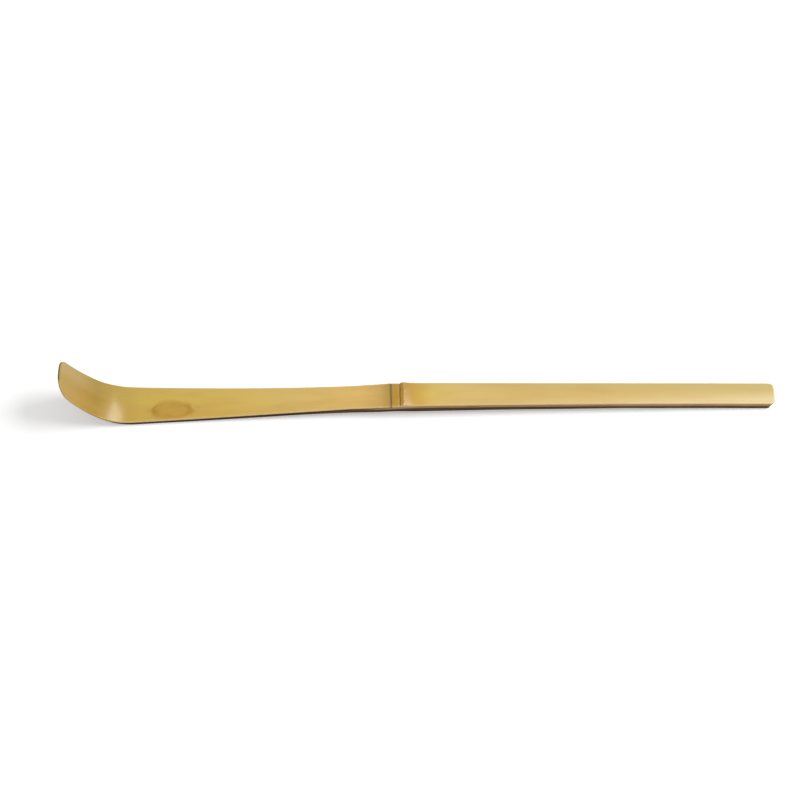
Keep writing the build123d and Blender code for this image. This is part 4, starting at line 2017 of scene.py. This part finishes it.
@dataclass(frozen=True)
class Studio:
    """The plain white floor, the soft lamps and the camera at the photograph's viewing angle.

    Args:
        softboxes: The lamps.
        sky: Strength of the even light from all round.
        floor_size: The floor's width in metres.
        floor_gap: How far it lies under the scoop, in millimetres.
        floor_colour: Its colour as #rrggbb.
        floor_glow: How much it glows for the camera, where 1 is white by itself.
        frame_pixels: The photograph's width and height in pixels.
        look_at: The point that the camera is placed by, in millimetres.
        look_at_pixel: Where that point lies in the photograph.
        elevation: The camera's height over the table, in degrees.
        yaw: How far it is turned to the right, in degrees.
        roll: How far it is turned about its line of sight, in degrees.
        distance: How far away it stands, in millimetres.
        pixels_per_mm: The photograph's scale at the point.
        sensor: The sensor's width in millimetres.
        clip: The nearest and the furthest that the camera sees, in metres.
    """

    softboxes: tuple[Softbox, ...] = (
        Softbox("side_softbox", 85.0, 49.0, 0.62, (0.34, 0.34), 0.54),
        Softbox("back_card", 46.0, 57.5, 0.80, (0.34, 0.34), 0.26, only_mirrored=True),
    )
    sky: float = 0.43
    floor_size: float = 3.0
    floor_gap: float = 0.02
    floor_colour: str = "#f8f8f8"
    floor_glow: float = 0.37
    frame_pixels: float = 800.0
    look_at: tuple[float, float, float] = (-2.5, 0.0, 2.0)
    look_at_pixel: tuple[float, float] = (408.82, 399.24)
    elevation: float = 55.0
    yaw: float = 1.04
    roll: float = 0.058
    distance: float = 875.0
    pixels_per_mm: float = 3.941
    sensor: float = 36.0
    clip: tuple[float, float] = (0.01, 10.0)

    def build(self) -> None:
        """Sets the stage."""
        scene = bpy.context.scene
        scene.view_settings.view_transform = "Standard"
        self.build_floor()
        scene.world = self.build_sky()
        for softbox in self.softboxes:
            softbox.build(Vector(self.look_at) * MM)
        scene.camera = self.build_camera()

    def build_floor(self) -> None:
        """A white floor that keeps the scoop's shadow: a matt sheet with a plain glow that only the
        camera sees, so that it puts no light on the scoop."""
        half, level = self.floor_size / 2, -self.floor_gap * MM
        corners = np.array([(-half, -half), (half, -half), (half, half), (-half, half)])
        points = np.column_stack([corners, np.full(len(corners), level)])
        floor = make_mesh("floor", points, np.array([[0, 1, 2, 3]]))
        material = bpy.data.materials.new("white_floor")
        material.use_nodes = True
        tree = material.node_tree
        tree.nodes.clear()
        matt = add_node(tree, "ShaderNodeBsdfDiffuse", {"Color": linear(self.floor_colour)})
        seen = {"Value": add_node(tree, "ShaderNodeLightPath").outputs["Is Camera Ray"]}
        strength = add_node(tree, "ShaderNodeMapRange", {"To Max": self.floor_glow}, seen).outputs[0]
        glow = add_node(tree, "ShaderNodeEmission", {"Color": WHITE}, {"Strength": strength})
        both = add_node(tree, "ShaderNodeAddShader", None, {0: matt.outputs[0], 1: glow.outputs[0]})
        add_node(tree, "ShaderNodeOutputMaterial", None, {"Surface": both.outputs[0]})
        floor.data.materials.append(material)

    def build_sky(self) -> bpy.types.World:
        """An even fill light, which the camera sees as white.

        Returns:
            The world.
        """
        world = bpy.data.worlds.new("even_sky")
        world.use_nodes = True
        tree = world.node_tree
        tree.nodes.clear()
        seen = {"Value": add_node(tree, "ShaderNodeLightPath").outputs["Is Camera Ray"]}
        strength = add_node(tree, "ShaderNodeMapRange", {"To Min": self.sky}, seen).outputs[0]
        light = add_node(tree, "ShaderNodeBackground", {"Color": WHITE}, {"Strength": strength})
        add_node(tree, "ShaderNodeOutputWorld", None, {"Surface": light.outputs[0]})
        return world

    def build_camera(self) -> bpy.types.Object:
        """The camera, placed by its angles from the point that it looks at.

        Its lens has the photograph's scale at that point's distance, and it is moved aside so that
        the point falls on its own pixel.

        Returns:
            The camera's object.
        """
        elevation, yaw, roll = np.radians([self.elevation, self.yaw, self.roll])
        flat = np.cos(elevation)
        forward = Vector((np.sin(yaw) * flat, np.cos(yaw) * flat, -np.sin(elevation)))
        right = Vector((np.cos(yaw), -np.sin(yaw), 0.0))
        up = right.cross(forward)
        middle = self.frame_pixels / 2
        aside = (self.look_at_pixel[0] - middle) / self.pixels_per_mm
        above = (middle - self.look_at_pixel[1]) / self.pixels_per_mm
        aimed = Vector(self.look_at) - right * aside - up * above
        rolled_right = right * np.cos(roll) + up * np.sin(roll)
        rolled_up = up * np.cos(roll) - right * np.sin(roll)
        turn = Matrix((rolled_right, rolled_up, -forward)).transposed().to_4x4()
        data = bpy.data.cameras.new("camera")
        data.sensor_width = self.sensor
        data.lens = self.sensor * self.pixels_per_mm * self.distance / self.frame_pixels
        data.clip_start, data.clip_end = self.clip
        camera = bpy.data.objects.new("camera", data)
        camera.matrix_world = Matrix.Translation((aimed - forward * self.distance) * MM) @ turn
        bpy.context.scene.collection.objects.link(camera)
        return camera


@dataclass
class TeaScoop:
    """The whole scoop: its three stretches, each with its rind and its flesh.

    Args:
        strip: The strip's sizes, and how far it is shifted to its place in the frame.
        skin: The rind's finish.
        flesh: The flesh's finish.
    """

    strip: Strip
    skin: ScrapedRind = ScrapedRind()
    flesh: CarvedFlesh = CarvedFlesh()

    @classmethod
    def in_frame(cls) -> "TeaScoop":
        """The scoop put where the frame's nodes are: its end at the handle's end, and its heel on
        the floor.

        Returns:
            The scoop.
        """
        strip = Strip()
        end_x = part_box("handle_flesh")[1].x / MM
        floor_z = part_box("scoop_flesh")[0].z / MM
        lowest = Scoop(strip).lowest()
        return cls(Strip(shift=(end_x - strip.end_x, floor_z - lowest)))

    def build(self) -> None:
        """Makes the pieces, dresses them and fixes them to the frame."""
        skin, flesh = self.skin.build(), self.flesh.build()
        for label, stretch, rind_nodes, flesh_node, rind_slot in (
            ("scoop", Scoop(self.strip), ("scoop_rind",), "scoop_flesh", "bamboo_rind"),
            ("node", Node(self.strip), ("sheath_ring", "stem_ridge"), "node_core", "bamboo_node"),
            ("handle", Handle(self.strip), ("handle_rind",), "handle_flesh", "bamboo_rind"),
        ):
            rind, core = stretch.build(f"{label}_skin", f"{label}_body")
            self.fix(rind, skin, rind_slot, *rind_nodes)
            self.fix(core, flesh, "bamboo_flesh", flesh_node)

    def fix(self, piece: bpy.types.Object, finish: bpy.types.Material, slot: str, *nodes: str) -> None:
        """Dresses a piece, fixes it to the body and lets it stand for its nodes.

        Args:
            piece: The mesh object.
            finish: Its material.
            slot: The name of the record's slot for its finish; it is not used.
            nodes: The nodes that it replaces.
        """
        piece.data.materials.append(finish)
        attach(piece, BODY)
        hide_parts(*nodes)
        LOG.info("%s: %d faces, stands for %s", piece.name, len(piece.data.polygons), ", ".join(nodes))


def main() -> None:
    """Builds the scoop and the studio."""
    logging.basicConfig(level=logging.INFO, format="%(name)s %(message)s")
    TeaScoop.in_frame().build()
    Studio().build()


if __name__ == "__main__":
    main()
